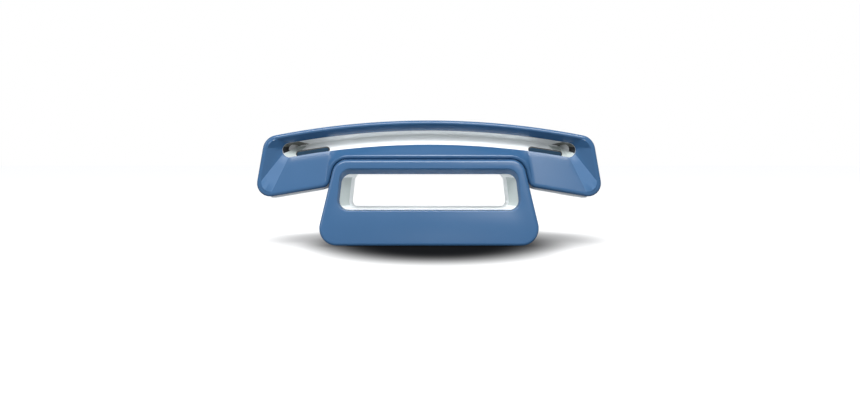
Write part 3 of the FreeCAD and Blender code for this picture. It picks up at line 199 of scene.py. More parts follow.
class Skin:
    """A closed surface that is drawn as loops of points and bridged with faces."""

    def __init__(self):
        self.mesh = bmesh.new()
        self.corners = []

    def loop(self, points):
        return [self.mesh.verts.new(Vector(point) * MM) for point in points]

    def bridge(self, first, second, finish=0, creases=()):
        for i in range(len(first)):
            j = (i + 1) % len(first)
            face = self.mesh.faces.new((first[i], first[j], second[j], second[i]))
            face.material_index = finish
            if i in creases:
                self.corners.append((first[i].co.copy(), second[i].co.copy()))

    def run(self, loops, finish=0, creases=(), closed=False):
        """Bridge a row of loops, one after another."""
        made = [self.loop(points) for points in loops]
        for first, second in zip(made, made[1:]):
            self.bridge(first, second, finish, creases)
        if closed:
            self.bridge(made[-1], made[0], finish, creases)
        return made

    def lid(self, loop, finish=0):
        self.mesh.faces.new(loop).material_index = finish

    def closed_run(self, loops, finish=0, first_finish=0, last_finish=0):
        """A run with a lid on its first and its last loop."""
        made = self.run(loops, finish)
        self.lid(made[0], first_finish)
        self.lid(made[-1], last_finish)

    def add(self, other):
        """Take in a mesh data block as it is."""
        self.mesh.from_mesh(other)

    def taken(self, name):
        """The skin as a mesh data block; the skin is used up."""
        data = bpy.data.meshes.new(name)
        self.mesh.to_mesh(data)
        self.mesh.free()
        return data


def settle(mesh, angle, corners=()):
    """Merge doubles, turn the faces outwards, and keep sharp the real corners and the named ones."""
    bmesh.ops.remove_doubles(mesh, verts=mesh.verts, dist=3e-6)
    bmesh.ops.dissolve_degenerate(mesh, edges=mesh.edges, dist=2e-6)
    bmesh.ops.recalc_face_normals(mesh, faces=mesh.faces)
    for face in mesh.faces:
        face.smooth = True
    for edge in mesh.edges:
        if len(edge.link_faces) == 2 and edge.calc_face_angle(0) > math.radians(angle):
            edge.smooth = False
    mesh.verts.ensure_lookup_table()
    tree = KDTree(len(mesh.verts))
    for vert in mesh.verts:
        tree.insert(vert.co, vert.index)
    tree.balance()
    for first, second in corners:
        ends = [mesh.verts[tree.find(point)[1]] for point in (first, second)]
        edge = mesh.edges.get(ends) if ends[0] != ends[1] else None
        if edge:
            edge.smooth = False


def piece(name, skin, finishes, body, replaces, angle=32):
    """Make a finished piece of a skin, tell the frame what it rides on and what it stands for."""
    settle(skin.mesh, angle, skin.corners)
    place(name, skin.taken(name), finishes, body, replaces)


def loose(name, data):
    """A new object in the scene."""
    made = bpy.data.objects.new(name, data)
    bpy.context.collection.objects.link(made)
    return made


def place(name, data, finishes, body, replaces):
    made = loose(name, data)
    parts = [face.material_index for face in data.polygons]
    data.materials.clear()
    for finish in finishes:
        data.materials.append(finish)
    data.polygons.foreach_set("material_index", parts)
    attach(made, body)
    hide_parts(*replaces)


# ---------------------------------------------------------------- materials

def linear(colour):
    """An sRGB hex value as linear red, green, blue and alpha."""
    parts = [int(colour[i:i + 2], 16) / 255 for i in (1, 3, 5)]
    return [p / 12.92 if p <= 0.04045 else ((p + 0.055) / 1.055) ** 2.4 for p in parts] + [1.0]


def add(tree, kind, links=(), **settings):
    """Add a node: settings are its properties or sockets' values, links are (socket, source or value)."""
    node = tree.nodes.new(kind)
    for name, value in settings.items():
        if hasattr(node, name):
            setattr(node, name, value)
        else:
            node.inputs[name.replace("_", " ")].default_value = value
    for socket, source in links:
        if isinstance(source, bpy.types.NodeSocket):
            tree.links.new(source, node.inputs[socket])
        else:
            node.inputs[socket].default_value = source
    return node


def moulded(name, colour, roughness, *, ior=1.5, metallic=0.0, tint=0.03, tint_size=24.0, grain=1.2,
            grain_high=0.01, worn=0.03, coat=0.0, coat_roughness=0.05):
    """A shaded finish: a colour that drifts a little, a grain of a real size in mm, and uneven gloss."""
    made = bpy.data.materials.new(name)
    made.use_nodes = True
    tree = made.node_tree
    shader = tree.nodes["Principled BSDF"]
    where = add(tree, "ShaderNodeTexCoord")
    drift = add(tree, "ShaderNodeTexNoise", [("Vector", where.outputs["Object"])],
                Scale=1 / (tint_size * MM), Detail=3.0, Roughness=0.6)
    base = linear(colour)
    dark = [c * (1 - tint) for c in base[:3]] + [1.0]
    light = [min(1.0, c * (1 + tint)) for c in base[:3]] + [1.0]
    ramp = add(tree, "ShaderNodeValToRGB", [("Fac", drift.outputs["Fac"])])
    for stop, position, tone in zip(ramp.color_ramp.elements, (0.3, 0.7), (dark, light)):
        stop.position = position
        stop.color = tone
    tree.links.new(ramp.outputs["Color"], shader.inputs["Base Color"])
    fine = add(tree, "ShaderNodeTexNoise", [("Vector", where.outputs["Object"])],
               Scale=1 / (grain * MM), Detail=2.0)
    gloss = add(tree, "ShaderNodeMapRange", [("Value", drift.outputs["Fac"])],
                To_Min=max(0.02, roughness - worn), To_Max=min(1.0, roughness + worn))
    tree.links.new(gloss.outputs["Result"], shader.inputs["Roughness"])
    bump = add(tree, "ShaderNodeBump", [("Height", fine.outputs["Fac"])],
               Strength=1.0, Distance=grain_high * MM)
    tree.links.new(bump.outputs["Normal"], shader.inputs["Normal"])
    for socket, value in (("IOR", ior), ("Metallic", metallic), ("Coat Weight", coat),
                          ("Coat Roughness", coat_roughness)):
        shader.inputs[socket].default_value = value
    return made


# the faint orange peel of the blue shells and of the white pieces
BLUE_PEEL = {"ior": 1.52, "tint": 0.02, "tint_size": 35, "grain": 1.6, "grain_high": 0.006}
WHITE_PEEL = {"tint": 0.012, "tint_size": 30, "grain": 1.1, "grain_high": 0.006}
# Blue ABS, injection moulded in a polished tool: an even, soft gloss.
BLUE = moulded("blue_abs_polished", "#375D84", 0.2, **BLUE_PEEL)
# The same ABS on the underside, from a spark-eroded tool: a fine, matt, even grain.
BLUE_GRAINED = moulded("blue_abs_grained", "#3F5F82", 0.55, ior=1.52, tint=0.05, tint_size=6, grain=0.5,
                       grain_high=0.04)
# The same blue made paler and rougher: a painted sheen on facets that catch the lamps.
BLUE_PAINTED_SHEEN = moulded("blue_abs_painted_sheen", "#416A94", 0.36, **BLUE_PEEL)
# White ABS, moulded: cool white with a satin gloss.
WHITE = moulded("white_abs_satin", "#F6F9F9", 0.34, **WHITE_PEEL)
# Navy acrylic, moulded and polished: deep colour under a clear, sharp gloss.
NAVY = moulded("navy_acrylic", "#12354B", 0.25, ior=1.49, tint=0.06, tint_size=12, grain=2.0,
               grain_high=0.003, coat=0.6)
# Black rubber, moulded: matt, with a powdery grain.
RUBBER = moulded("black_rubber", "#1C1D1F", 0.78, ior=1.5, tint=0.12, tint_size=3, grain=0.4,
                 grain_high=0.05)
# Zinc-plated steel: bluish grey metal, slightly cloudy.
STEEL = moulded("zinc_plated_steel", "#B9BDBF", 0.3, metallic=1.0, tint=0.08, tint_size=5, grain=0.5,
                grain_high=0.008)
# Glass-fibre circuit board under green solder mask: satin with copper lands just visible.
BOARD = moulded("green_solder_mask", "#1E5A38", 0.35, tint=0.18, tint_size=4, grain=0.9, grain_high=0.02)
# Tin-plated sheet: bright, a little rolled.
TIN = moulded("tinned_sheet", "#C6C8C4", 0.25, metallic=1.0, tint=0.05, tint_size=8, grain=1.0,
              grain_high=0.01)
# Black glass-filled nylon of sockets and trays: dull with a fine grain. The same black is painted shade at
# the tips of the slot's ends and a painted shadow round the slot's pads.
NYLON_AND_PAINTED_SHADE = moulded("black_nylon_and_painted_shade", "#202225", 0.5, tint=0.1, tint_size=4, grain=0.5, grain_high=0.02)
# Gold-flashed contacts: warm bright metal.
GOLD = moulded("gold_flash", "#D9B25C", 0.2, metallic=1.0, tint=0.05, tint_size=3, grain=0.6,
               grain_high=0.004)
# Keys sprayed with silver lacquer: fine metal flake under a satin clear coat.
SILVER = moulded("silver_lacquer", "#C3C8CC", 0.32, metallic=0.65, tint=0.06, tint_size=0.6, grain=0.3,
                 grain_high=0.01, coat=0.3, coat_roughness=0.2)
# Hard-coated dark acrylic over the display: near black, mirror smooth.
LENS = moulded("smoked_acrylic", "#0D1216", 0.06, ior=1.49, tint=0.1, tint_size=20, grain=4.0,
               grain_high=0.001, coat=0.8)
# Liquid-crystal glass at rest: grey green.
CRYSTAL = moulded("liquid_crystal_glass", "#8C9A86", 0.12, tint=0.05, tint_size=10, grain=2.0,
                  grain_high=0.002)
# Silicone key mat: milky, soft sheen.
SILICONE = moulded("milky_silicone", "#C9CBC6", 0.5, tint=0.05, tint_size=6, grain=0.8, grain_high=0.02)
# White ABS painted grey: painted shade on the sleeve's slanting mouths and the lower part of the slot's ends.
WHITE_PAINTED_SHADE = moulded("grey_white_painted_shade", "#C1CAC8", 0.34, **WHITE_PEEL)
# A smoke grey that is painted shade, for the upper part of the slot's ends.
SMOKE_PAINTED_SHADE = moulded("smoke_grey_painted_shade", "#5E5F59", 0.3, tint=0.1, tint_size=8, grain=1.5, grain_high=0.02)
# Open-cell foam gasket: black, porous.
FOAM = moulded("black_foam", "#17181A", 0.95, tint=0.3, tint_size=0.8, grain=0.7, grain_high=0.2)
# Heat-shrunk sleeve round the cells: green, tight and shiny.
SLEEVE = moulded("green_shrink_sleeve", "#2C7A55", 0.25, tint=0.06, tint_size=6, grain=3.0, grain_high=0.05)
# Screen-printed ink on the keys: flat dark blue grey, with green for the talk key and red for the end key.
INK, INK_GREEN, INK_RED = [
    moulded(name, colour, 0.5, tint=0.03, tint_size=4, grain=0.5, grain_high=0.004) for name, colour in
    (("printed_ink", "#26394A"), ("printed_green_ink", "#2F8F4E"), ("printed_red_ink", "#B53A33"))]


# ---------------------------------------------------------------- cuts, lathe work and repeated pieces

def solid_of(loops):
    """A mesh data block closed by its first and last loop."""
    skin = Skin()
    skin.closed_run(loops)
    bmesh.ops.recalc_face_normals(skin.mesh, faces=skin.mesh.faces)
    return skin.taken("solid")


def baked(made):
    """The object's mesh with its modifiers applied; the object itself goes."""
    depsgraph = bpy.context.evaluated_depsgraph_get()
    data = bpy.data.meshes.new_from_object(made.evaluated_get(depsgraph))
    bpy.data.objects.remove(made)
    return data


def bored(skin, cutters):
    """The skin with solids cut out of it."""
    settle(skin.mesh, 30)
    made = loose("uncut", skin.taken("uncut"))
    tools = [loose("cutter", cutter) for cutter in cutters]
    for tool in tools:
        cut = made.modifiers.new("Cut", "BOOLEAN")
        cut.operation, cut.solver, cut.object = "DIFFERENCE", "EXACT", tool
    result = Skin()
    result.add(baked(made))
    for tool in tools:
        bpy.data.objects.remove(tool)
    return result


def ring_at(centre, radius, depth, count=40):
    """A circle in a plane that faces along Y."""
    return [Vector((centre[0] + p.x, depth, centre[1] + p.y)) for p in circle(radius, 0.0, count)]


def box_at(left, right, low, high, depth, radius=0.4):
    arcs = polygon_arcs(oblong(left, right, low, high), [radius] * 4)
    return in_3d(trace(arcs, [4] * 4, [[]] * 4), depth)


def turned(profile, count):
    """A skin turned about Z from a profile of radius and height; it starts and ends on the axis."""
    skin = Skin()
    skin.run([circle(radius, high, count) for radius, high in profile])
    return skin


def repeat_tree():
    """Geometry nodes that set a piece out on a grid round the middle."""
    tree = bpy.data.node_groups.new("set_out_on_grid", "GeometryNodeTree")
    face = tree.interface
    face.new_socket("Geometry", in_out="INPUT", socket_type="NodeSocketGeometry")
    for name, kind in (("Piece", "Object"), ("Finish", "Material"), ("Across", "Int"), ("Along", "Int"),
                       ("Step across", "Float"), ("Step along", "Float")):
        face.new_socket(name, in_out="INPUT", socket_type=f"NodeSocket{kind}")
    face.new_socket("Geometry", in_out="OUTPUT", socket_type="NodeSocketGeometry")
    source = add(tree, "NodeGroupInput").outputs
    lines = []
    for count, step, axis in (("Across", "Step across", "X"), ("Along", "Step along", "Y")):
        gaps = add(tree, "ShaderNodeMath", [(0, source[count]), (1, 1)], operation="SUBTRACT")
        reach = add(tree, "ShaderNodeMath", [(0, gaps.outputs[0]), (1, source[step])], operation="MULTIPLY")
        start = add(tree, "ShaderNodeMath", [(0, reach.outputs[0]), (1, -0.5)], operation="MULTIPLY")
        begin = add(tree, "ShaderNodeCombineXYZ", [(axis, start.outputs[0])])
        offset = add(tree, "ShaderNodeCombineXYZ", [(axis, source[step])])
        lines.append(add(tree, "GeometryNodeMeshLine", [("Count", source[count]),
                                                        ("Start Location", begin.outputs[0]),
                                                        ("Offset", offset.outputs[0])]))
    rows = add(tree, "GeometryNodeInstanceOnPoints", [("Points", lines[0].outputs[0]),
                                                      ("Instance", lines[1].outputs[0])])
    spots = add(tree, "GeometryNodeRealizeInstances", [("Geometry", rows.outputs[0])])
    shape = add(tree, "GeometryNodeObjectInfo", [("Object", source["Piece"])])
    copies = add(tree, "GeometryNodeInstanceOnPoints", [("Points", spots.outputs[0]),
                                                        ("Instance", shape.outputs["Geometry"])])
    real = add(tree, "GeometryNodeRealizeInstances", [("Geometry", copies.outputs[0])])
    finish = add(tree, "GeometryNodeSetMaterial", [("Geometry", real.outputs[0]),
                                                   ("Material", source["Finish"])])
    add(tree, "NodeGroupOutput", [("Geometry", finish.outputs[0])])
    return tree


GRID_TREE = repeat_tree()


def set_out(skin, finish, across, along, step_across, step_along):
    """Copies of a piece on a grid, as one mesh. Steps in millimetres."""
    settle(skin.mesh, 32)
    one = loose("one", skin.taken("one"))
    host = loose("host", bpy.data.meshes.new("host"))
    nodes = host.modifiers.new("Grid", "NODES")
    nodes.node_group = GRID_TREE
    values = {"Piece": one, "Finish": finish, "Across": across, "Along": along,
              "Step across": step_across * MM, "Step along": step_along * MM}
    for item in GRID_TREE.interface.items_tree:
        if item.in_out == "INPUT" and item.name in values:
            nodes[item.identifier] = values[item.name]
    host.update_tag()
    result = baked(host)
    bpy.data.objects.remove(one)
    return result


def moved(data, matrix):
    """A mesh put in its place; the matrix's shift is in millimetres."""
    metres = matrix.copy()
    metres.translation *= MM
    data.transform(metres)
    return data


# ---------------------------------------------------------------- handset shells

def handset_arcs():
    """The handset's rounded corners, clockwise: the arched back first, then the right ear, then the left."""
    shoulder = Vector((side_reach(RIM) + SEAT_GAP, RIM))
    heel = Vector((side_reach(HEEL_HIGH) + SEAT_GAP, HEEL_HIGH))
    tip = Vector((TIP_REACH, TIP_LOW))
    back = Vector((0, ARCH_CENTRE))
    corner = Vector((CORNER_REACH, ARCH_CENTRE + math.sqrt(ARCH_RADIUS**2 - CORNER_REACH**2)))
    # the upper corner touches the arched back from inside, and the ear's outer side
    side = (tip - corner).normalized()
    inwards = Vector((side.y, -side.x))
    foot = corner + inwards * CORNER_ROUND - back
    slide = -foot.dot(side) - math.sqrt(foot.dot(side)**2 - foot.length_squared
                                        + (ARCH_RADIUS - CORNER_ROUND)**2)
    if (foot + side * slide).y < 0:
        slide = -2 * foot.dot(side) - slide
    middle = back + foot + side * slide
    upper = arc_between(middle, back + (middle - back).normalized() * ARCH_RADIUS,
                        middle - inwards * CORNER_ROUND)
    lower = corner_arc(corner, tip, heel, TIP_ROUND)
    share = next(k / 400 for k in range(401) if lower.at(k / 400).y < lower.centre.y
                 and lower.at(k / 400).x < FACE_END)
    right = [upper, *lower.split(share), corner_arc(tip, heel, shoulder, HEEL_ROUND),
             corner_arc(heel, shoulder, Vector((0, RIM)), CROWN_ROUND + SEAT_GAP)]
    left = [mirrored(arc) for arc in reversed(right)]
    return [arc_between(back, left[-1].at(1), right[0].at(0))] + right + left, share


HANDSET_ARCS, TIP_SHARE = handset_arcs()
HANDSET_STEPS = [84, 10, 7, 9, 9, 10, 10, 9, 9, 7, 10]
HANDSET_RUNS = [[], even(6), [], even(16), even(4), even(44), even(4), even(16), [], even(6), []]
# The white inner face fills the underside between these two arcs.
UNDERSIDE = range(3, 9)


def handset_marks():
    """Which arc each point of the handset's outline belongs to, and where arcs and runs begin."""
    owner, starts = [], []
    for i, count in enumerate(HANDSET_STEPS):
        starts.append(len(owner))
        owner += [i] * (count + 1)
        starts.append(len(owner) - 1)
        owner += [i + 0.5] * len(HANDSET_RUNS[i])
    return owner, starts


OWNER, STARTS = handset_marks()
IS_UNDER = [UNDERSIDE[0] <= mark <= UNDERSIDE[-1] for mark in OWNER]


class SlotLine:
    """A line round the slot, moved outwards by a distance, or the narrow line at the slot's bottom."""

    def __init__(self, upper, lower, half, radius):
        self.upper, self.lower, self.half = ARCH_RADIUS - upper, ARCH_RADIUS - lower, half
        top, low = self.on(self.upper, half), self.on(self.lower, half)
        rise = math.sqrt(max(0.0, radius**2 - (top - low).length_squared / 4))
        across = Vector((top - low).yx).normalized()
        across = Vector((abs(across.x), -across.y))
        self.end = arc_between((top + low) / 2 - across * rise, top, low)

    def on(self, radius, across):
        return Vector((across, ARCH_CENTRE + math.sqrt(radius**2 - across**2)))

    def at(self, part, share):
        """A point on one of the four parts, run clockwise; on the lower part the share is the x itself."""
        if part == "upper":
            return self.on(self.upper, self.half * (2 * share - 1))
        if part == "lower":
            return self.on(self.lower, share)
        if part == "right":
            return self.end.at(share)
        return mirrored(self.end).at(share)


def slot_line(out=0.0):
    return SlotLine(SLOT_RAIL - out, SLOT_RAIL + SLOT_TALL + out, SLOT_END, SLOT_ROUND + out)


def lip_points(line):
    """The slot's line with one point for each point of the handset's outline, facet by facet."""
    inner = trace(HANDSET_ARCS, HANDSET_STEPS, HANDSET_RUNS, CHEEK_RIM)
    stops = [line.half] + [inner[STARTS[k]].x * 0.97 for k in (8, 9, 10, 11)]
    stops += [-x for x in reversed(stops)]
    tip = (2 + TIP_SHARE) / 3
    # for each arc and the run after it: the part of the slot's line and the shares at its two ends
    spans = [("upper", 0, 1), None, ("right", 0, 1 / 3), ("right", 1 / 3, 2 / 3),
             ("right", 2 / 3, tip), None, ("right", tip, 1)]
    spans += [("lower", first, last) for first, last in zip(stops, stops[1:])]
    spans += [("left", 0, 1 - tip), None, ("left", 1 - tip, 1 / 3), ("left", 1 / 3, 2 / 3),
              ("left", 2 / 3, 1), None]
    points = []
    for i, count in enumerate(HANDSET_STEPS):
        part, first, last = spans[2 * i]
        points += [line.at(part, first + (last - first) * k / count) for k in range(count + 1)]
        if HANDSET_RUNS[i]:
            part, first, last = spans[2 * i + 1]
            points += [line.at(part, first + (last - first) * share) for share in HANDSET_RUNS[i]]
    return points


# where the shell's underside ends, beside the white face, and the loops up to there
FACE_SIDE = FACE_HALF + 0.1
SIDE_LOOPS = (7, 14, FACE_SIDE)
# how far behind the rim's round the cheek starts, and before the slot's lip it ends and turns in
CHEEK_START, CHEEK_END, CHEEK_TURN = 0.9, 0.3, 0.3


def outline(inset):
    """The handset's outline moved inwards."""
    return trace(HANDSET_ARCS, HANDSET_STEPS, HANDSET_RUNS, inset)


def handset_ring(side, depth, inset, under=None):
    """A loop of the shell; along the underside it may have another inset, and it stops at the white face."""
    ring = in_3d(outline(inset), side * depth)
    low = in_3d(outline(inset if under is None else under), side * max(depth, FACE_SIDE))
    return [low[i] if IS_UNDER[i] else point for i, point in enumerate(ring)]


# The cheek's flat facets: each upper corner, and each lower outer corner with its two arcs.
FACETS = [range(STARTS[2 * first], STARTS[2 * last + 1] + 1)
          for first, last in ((1, 1), (2, 3), (8, 9), (10, 10))]


def flatten(start, end, lip):
    """Lay each facet's points on a plane through its two outer corners and the middle of its inner edge."""
    for facet in FACETS:
        first, last = start[facet[0]], start[facet[-1]]
        inner = (lip[facet[0]] + lip[facet[-1]]) / 2
        normal = (last - first).cross(inner - first)
        for row in (start, end):
            for i in facet:
                offset = normal.dot(row[i] - first)
                row[i] = row[i] - Vector((0, offset / normal.y, 0))


def handset_shell(name, side, replaces):
    skin = Skin()
    rings = [handset_ring(side, depth, inset, FACE_REBATE)
             for depth, inset in (*GROOVE, *((depth, 0.0) for depth in SIDE_LOOPS))]
    rings.append(handset_ring(side, FACE_SIDE, 0.0))
    # the rounded rim, and the small round that turns it into the cheek
    rings += [handset_ring(side, GRIP_DEEP - back, inset) for back, inset in quarter(RIM_ROUND, RIM_ROUND)]
    land = in_3d(outline(RIM_ROUND), side * GRIP_DEEP)
    edge = in_3d(outline(CHEEK_RIM + 0.1), side * GRIP_DEEP)
    lip = in_3d(lip_points(slot_line(LIP_OUT)), side * LIP_DEEP)
    start, end = towards(edge, lip, CHEEK_START), towards(lip, edge, CHEEK_END)
    flatten(start, end, lip)
    rings += bows(land, edge, start, EDGE_SHARES)
    facet_row = len(rings) - 1
    rings += [between(start, end, share) for share in FACET_SHARES]
    rings += bows(end, lip, pushed(lip, side * CHEEK_TURN), LIP_SHARES)
    rings.append(pushed(lip, side * LIP_THICK))
    seat = lip_points(slot_line(LINING_WALL + FIT))
    rings += [in_3d(seat, side * (LIP_DEEP - LIP_THICK)), in_3d(seat, side * (LIP_DEEP - GRIP_WALL))]
    # the inside of the wall
    rings += [handset_ring(side, depth, FACE_REBATE) for depth in (FACE_SIDE, 0.0)]
    creases = {end for facet in FACETS for end in (facet[0], facet[-1])}
    skin.run(rings, closed=True, creases=creases)
    # the lower corner facets get the paler blue, a painted highlight
    skin.mesh.faces.ensure_lookup_table()
    for row in range(facet_row, facet_row + len(FACET_SHARES)):
        for facet in FACETS[1:3]:
            for i in facet[:-1]:
                skin.mesh.faces[row * len(lip) + i].material_index = 1
    piece(name, skin, [BLUE, BLUE_PAINTED_SHEEN], "handset", replaces, angle=30)


# ---------------------------------------------------------------- slot linings and pads

LINE_STEPS = {"upper": 84, "right": 15, "lower": 84, "left": 15}
# an end of the slot: the shares of its arc where its facets meet, and where the painted shade of its end
# begins along the slot
END_FACET, PAINTED_SHADE_FROM = (1 / 3, 2 / 3), 80.2
# the pocket in an end's upper part: which of the lining's loops sink, and how far
POCKET = ((-6, 2.5), (-5, 6.5), (-4, 8.0))


def line_points(line):
    """The line's points, and for each its share of an end's arc, or None along the slot."""
    points, ends = [], []
    for part, count in LINE_STEPS.items():
        for k in range(count):
            share = k / count
            points.append(line.at(part, line.half * (1 - 2 * share) if part == "lower" else share))
            ends.append(share if part in ("right", "left") else None)
    return points, ends


def throat_line(out=0.0):
    return SlotLine(SLOT_RAIL + THROAT_AT - out, SLOT_RAIL + THROAT_AT + THROAT_TALL + out,
                    THROAT_HALF + out, THROAT_TALL + out)


def closing_line(line):
    """The middle line that a slot's bottom closes along, with the same count of points."""
    points, ends = line_points(line)
    middle = (line.upper + line.lower) / 2
    return [line.on(middle, max(-line.half, min(line.half, p.x))) if end is None
            else line.on(middle, math.copysign(line.half, p.x)) for p, end in zip(points, ends)]


def slot_lining(name, side, replaces):
    skin = Skin()
    lip, ends = line_points(slot_line())
    outer, _ = line_points(slot_line(LINING_WALL))
    throat, _ = line_points(throat_line())
    back, _ = line_points(throat_line(LINING_WALL))
    bottom, front = LIP_DEEP - SLOT_DEEP, LIP_DEEP - LIP_THICK - 0.05
    start, end = in_3d(lip, side * front), in_3d(throat, side * bottom)
    rings = [in_3d(points, side * (bottom - LINING_WALL))
             for points in (closing_line(throat_line(LINING_WALL)), back)]
    rings += [in_3d(outer, side * (front - 1.4)), in_3d(outer, side * front), start]
    rings += [between(start, end, share) for share in (0.12, 0.3, 0.5, 0.7, 0.85, 1.0)]
    rings.append(in_3d(closing_line(throat_line()), side * bottom))
    # a deep pocket in the upper part of each end
    for ring, sink in POCKET:
        for i, share in enumerate(ends):
            if share is not None:
                up = 1 - share if rings[0][i].x > 0 else share
                if END_FACET[0] < up < 0.9:
                    rings[ring][i].y -= side * sink
    creases = {i for i, share in enumerate(ends) if share is not None and
               any(abs(share - mark) < 0.01 for mark in (0.0, *END_FACET))}
    creases |= {0, LINE_STEPS["upper"] + LINE_STEPS["right"]}
    skin.run(rings, creases=creases)
    # each end is painted with shade: smoke grey above, black at the tip, grey white below
    skin.mesh.faces.ensure_lookup_table()
    for i, share in enumerate(ends):
        if share is None:
            if abs(lip[i].x) < PAINTED_SHADE_FROM:
                continue
            up = 1 if i < LINE_STEPS["upper"] else 0
        else:
            up = 1 - share - 0.03 if rings[0][i].x > 0 else share + 0.03
        for ring in range(4, 10):
            finish = 1 if up > END_FACET[1] else 2 if up > END_FACET[0] and ring < 8 else 3
            skin.mesh.faces[ring * len(ends) + i].material_index = finish
    piece(name, skin, [WHITE, SMOKE_PAINTED_SHADE, NYLON_AND_PAINTED_SHADE, WHITE_PAINTED_SHADE], "handset", replaces, angle=25)


def pad_at(side_x, across, up):
    """A point of a pad, which is turned to run with the slot's lower lip."""
    radius = ARCH_RADIUS - SLOT_RAIL - SLOT_TALL
    turn = math.asin(PAD_ACROSS / radius)
    line = ARCH_CENTRE + math.sqrt(radius**2 - PAD_ACROSS**2)
    return Vector((side_x * PAD_ACROSS + across * math.cos(turn) + side_x * up * math.sin(turn),
                   line - side_x * across * math.sin(turn) + up * math.cos(turn)))


def slot_pads(name, side, replaces):
    """Two glossy pads that stand on the slot's lower lip, with rounded edges painted black as a shadow
    outline.
    """
    skin = Skin()
    front, edge_deep, edge_wide = LIP_DEEP - 0.8, 0.9, 0.75
    rear = front - PAD_THICK
    arcs = polygon_arcs(oblong(-PAD_WIDE / 2, PAD_WIDE / 2, -PAD_SUNK, PAD_PROUD), [2.2, 2.2, 0.8, 0.8])
    levels = [(rear, 0.4), (rear + 0.3, 0.0), (front - edge_deep, 0.0)]
    levels += [(front - edge_deep * (1 - math.sin(turn)), edge_wide * (1 - math.cos(turn)))
               for turn in (0.35, 0.7, 1.05, 1.4, math.pi / 2)]
    for side_x in (-1, 1):
        rings = []
        for depth, inset in levels:
            points = trace(arcs, [8, 8, 4, 4], [even(12), even(1), even(12), even(1)], inset)
            rings.append(in_3d([pad_at(side_x, p.x, p.y) for p in points], side * depth))
        # the pads' sides and rounded edges are black, a painted shadow round them; only their fronts are navy
        skin.closed_run(rings, finish=1, first_finish=1)
    piece(name, skin, [NAVY, NYLON_AND_PAINTED_SHADE], "handset", replaces)


# ---------------------------------------------------------------- base shells and the window's lining

BASE_CORNERS = tapered(side_reach(BASE_TOP), side_reach(SHELL_LOW), SHELL_LOW, BASE_TOP)
BASE_ARCS = polygon_arcs(BASE_CORNERS, [CROWN_ROUND, CROWN_ROUND, FOOT_ROUND, FOOT_ROUND])
BASE_STEPS = [12, 12, 12, 12]


def split_run(half, reach, count):
    """Shares of a run from -reach to reach, with two points together at each end of an opening."""
    edge = (1 - half / reach) / 2
    return [edge, edge] + [edge + (1 - 2 * edge) * share for share in even(count)] + [1 - edge, 1 - edge]


BASE_RUNS = [split_run(CRADLE_HALF + FIT, BASE_ARCS[1].at(0).x, 40), even(10),
             split_run(PLATE_HALF + FIT, BASE_ARCS[2].at(1).x, 40), even(10)]


def base_marks():
    """For each point of the base's outline, how near to the middle its wall may come, and if it is open."""
    marks = []
    for i, count in enumerate(BASE_STEPS):
        marks += [0.0] * (count + 1)
        limit = {0: CRADLE_DEEP + FIT, 2: PLATE_DEEP + FIT}.get(i)
        run = len(BASE_RUNS[i])
        marks += [limit if limit and 1 <= k < run - 1 else 0.0 for k in range(run)]
    return marks


BASE_MARKS = base_marks()


def base_outline(inset):
    return trace(BASE_ARCS, BASE_STEPS, BASE_RUNS, inset)


def window_points(side, low, top, radius):
    """The window's outline, moved out at its sides, bottom and top, with as many points as the base's."""
    upper, lower = side_reach(WINDOW_TOP) - PILLAR_TOP + side, side_reach(WINDOW_LOW) - PILLAR_LOW + side
    corners = tapered(upper, lower, WINDOW_LOW - low, WINDOW_TOP + top)
    return trace(polygon_arcs(corners, [radius] * 4), BASE_STEPS, [even(len(run)) for run in BASE_RUNS])


def lean(points, side, behind):
    """Points in the side view, put on a plane behind the leaning face."""
    return [Vector((p.x, side * face_at(p.y, behind), p.y)) for p in points]


def base_ring(side, share, inset, depth=0.0):
    """A loop round the shell at a depth, or at a share of the way from the parting plane to the rim."""
    return [Vector((p.x, side * max(limit, depth + (face_at(p.y) - RIM_ROUND) * share), p.y))
            for p, limit in zip(base_outline(inset), BASE_MARKS)]


# the funnel's outer edge: how far below the window it runs and its corners' round, and how far beyond its
# sides and foot, and beyond its top, the flat face starts
FUNNEL_FOOT, FUNNEL_ROUND, LAND_SIDE, LAND_TOP = 0.6, 6.8, 0.5, 0.4
# how far from its edge the funnel's slope starts, and before its lip it ends and turns in
SLOPE_START, SLOPE_END, SLOPE_TURN = 0.8, 0.4, 0.35
# openings in the rear wall: a box for the line socket, two holes (middle and radius), and the cuts' reach
LINE_MOUTH, POWER_HOLE, BUTTON_HOLE = (9.6, 19.4, 9.5, 16.3), ((-15.0, 12.8), 4.0), ((0.0, 13.4), 3.95)
CUT_DEPTHS = (20, 40)


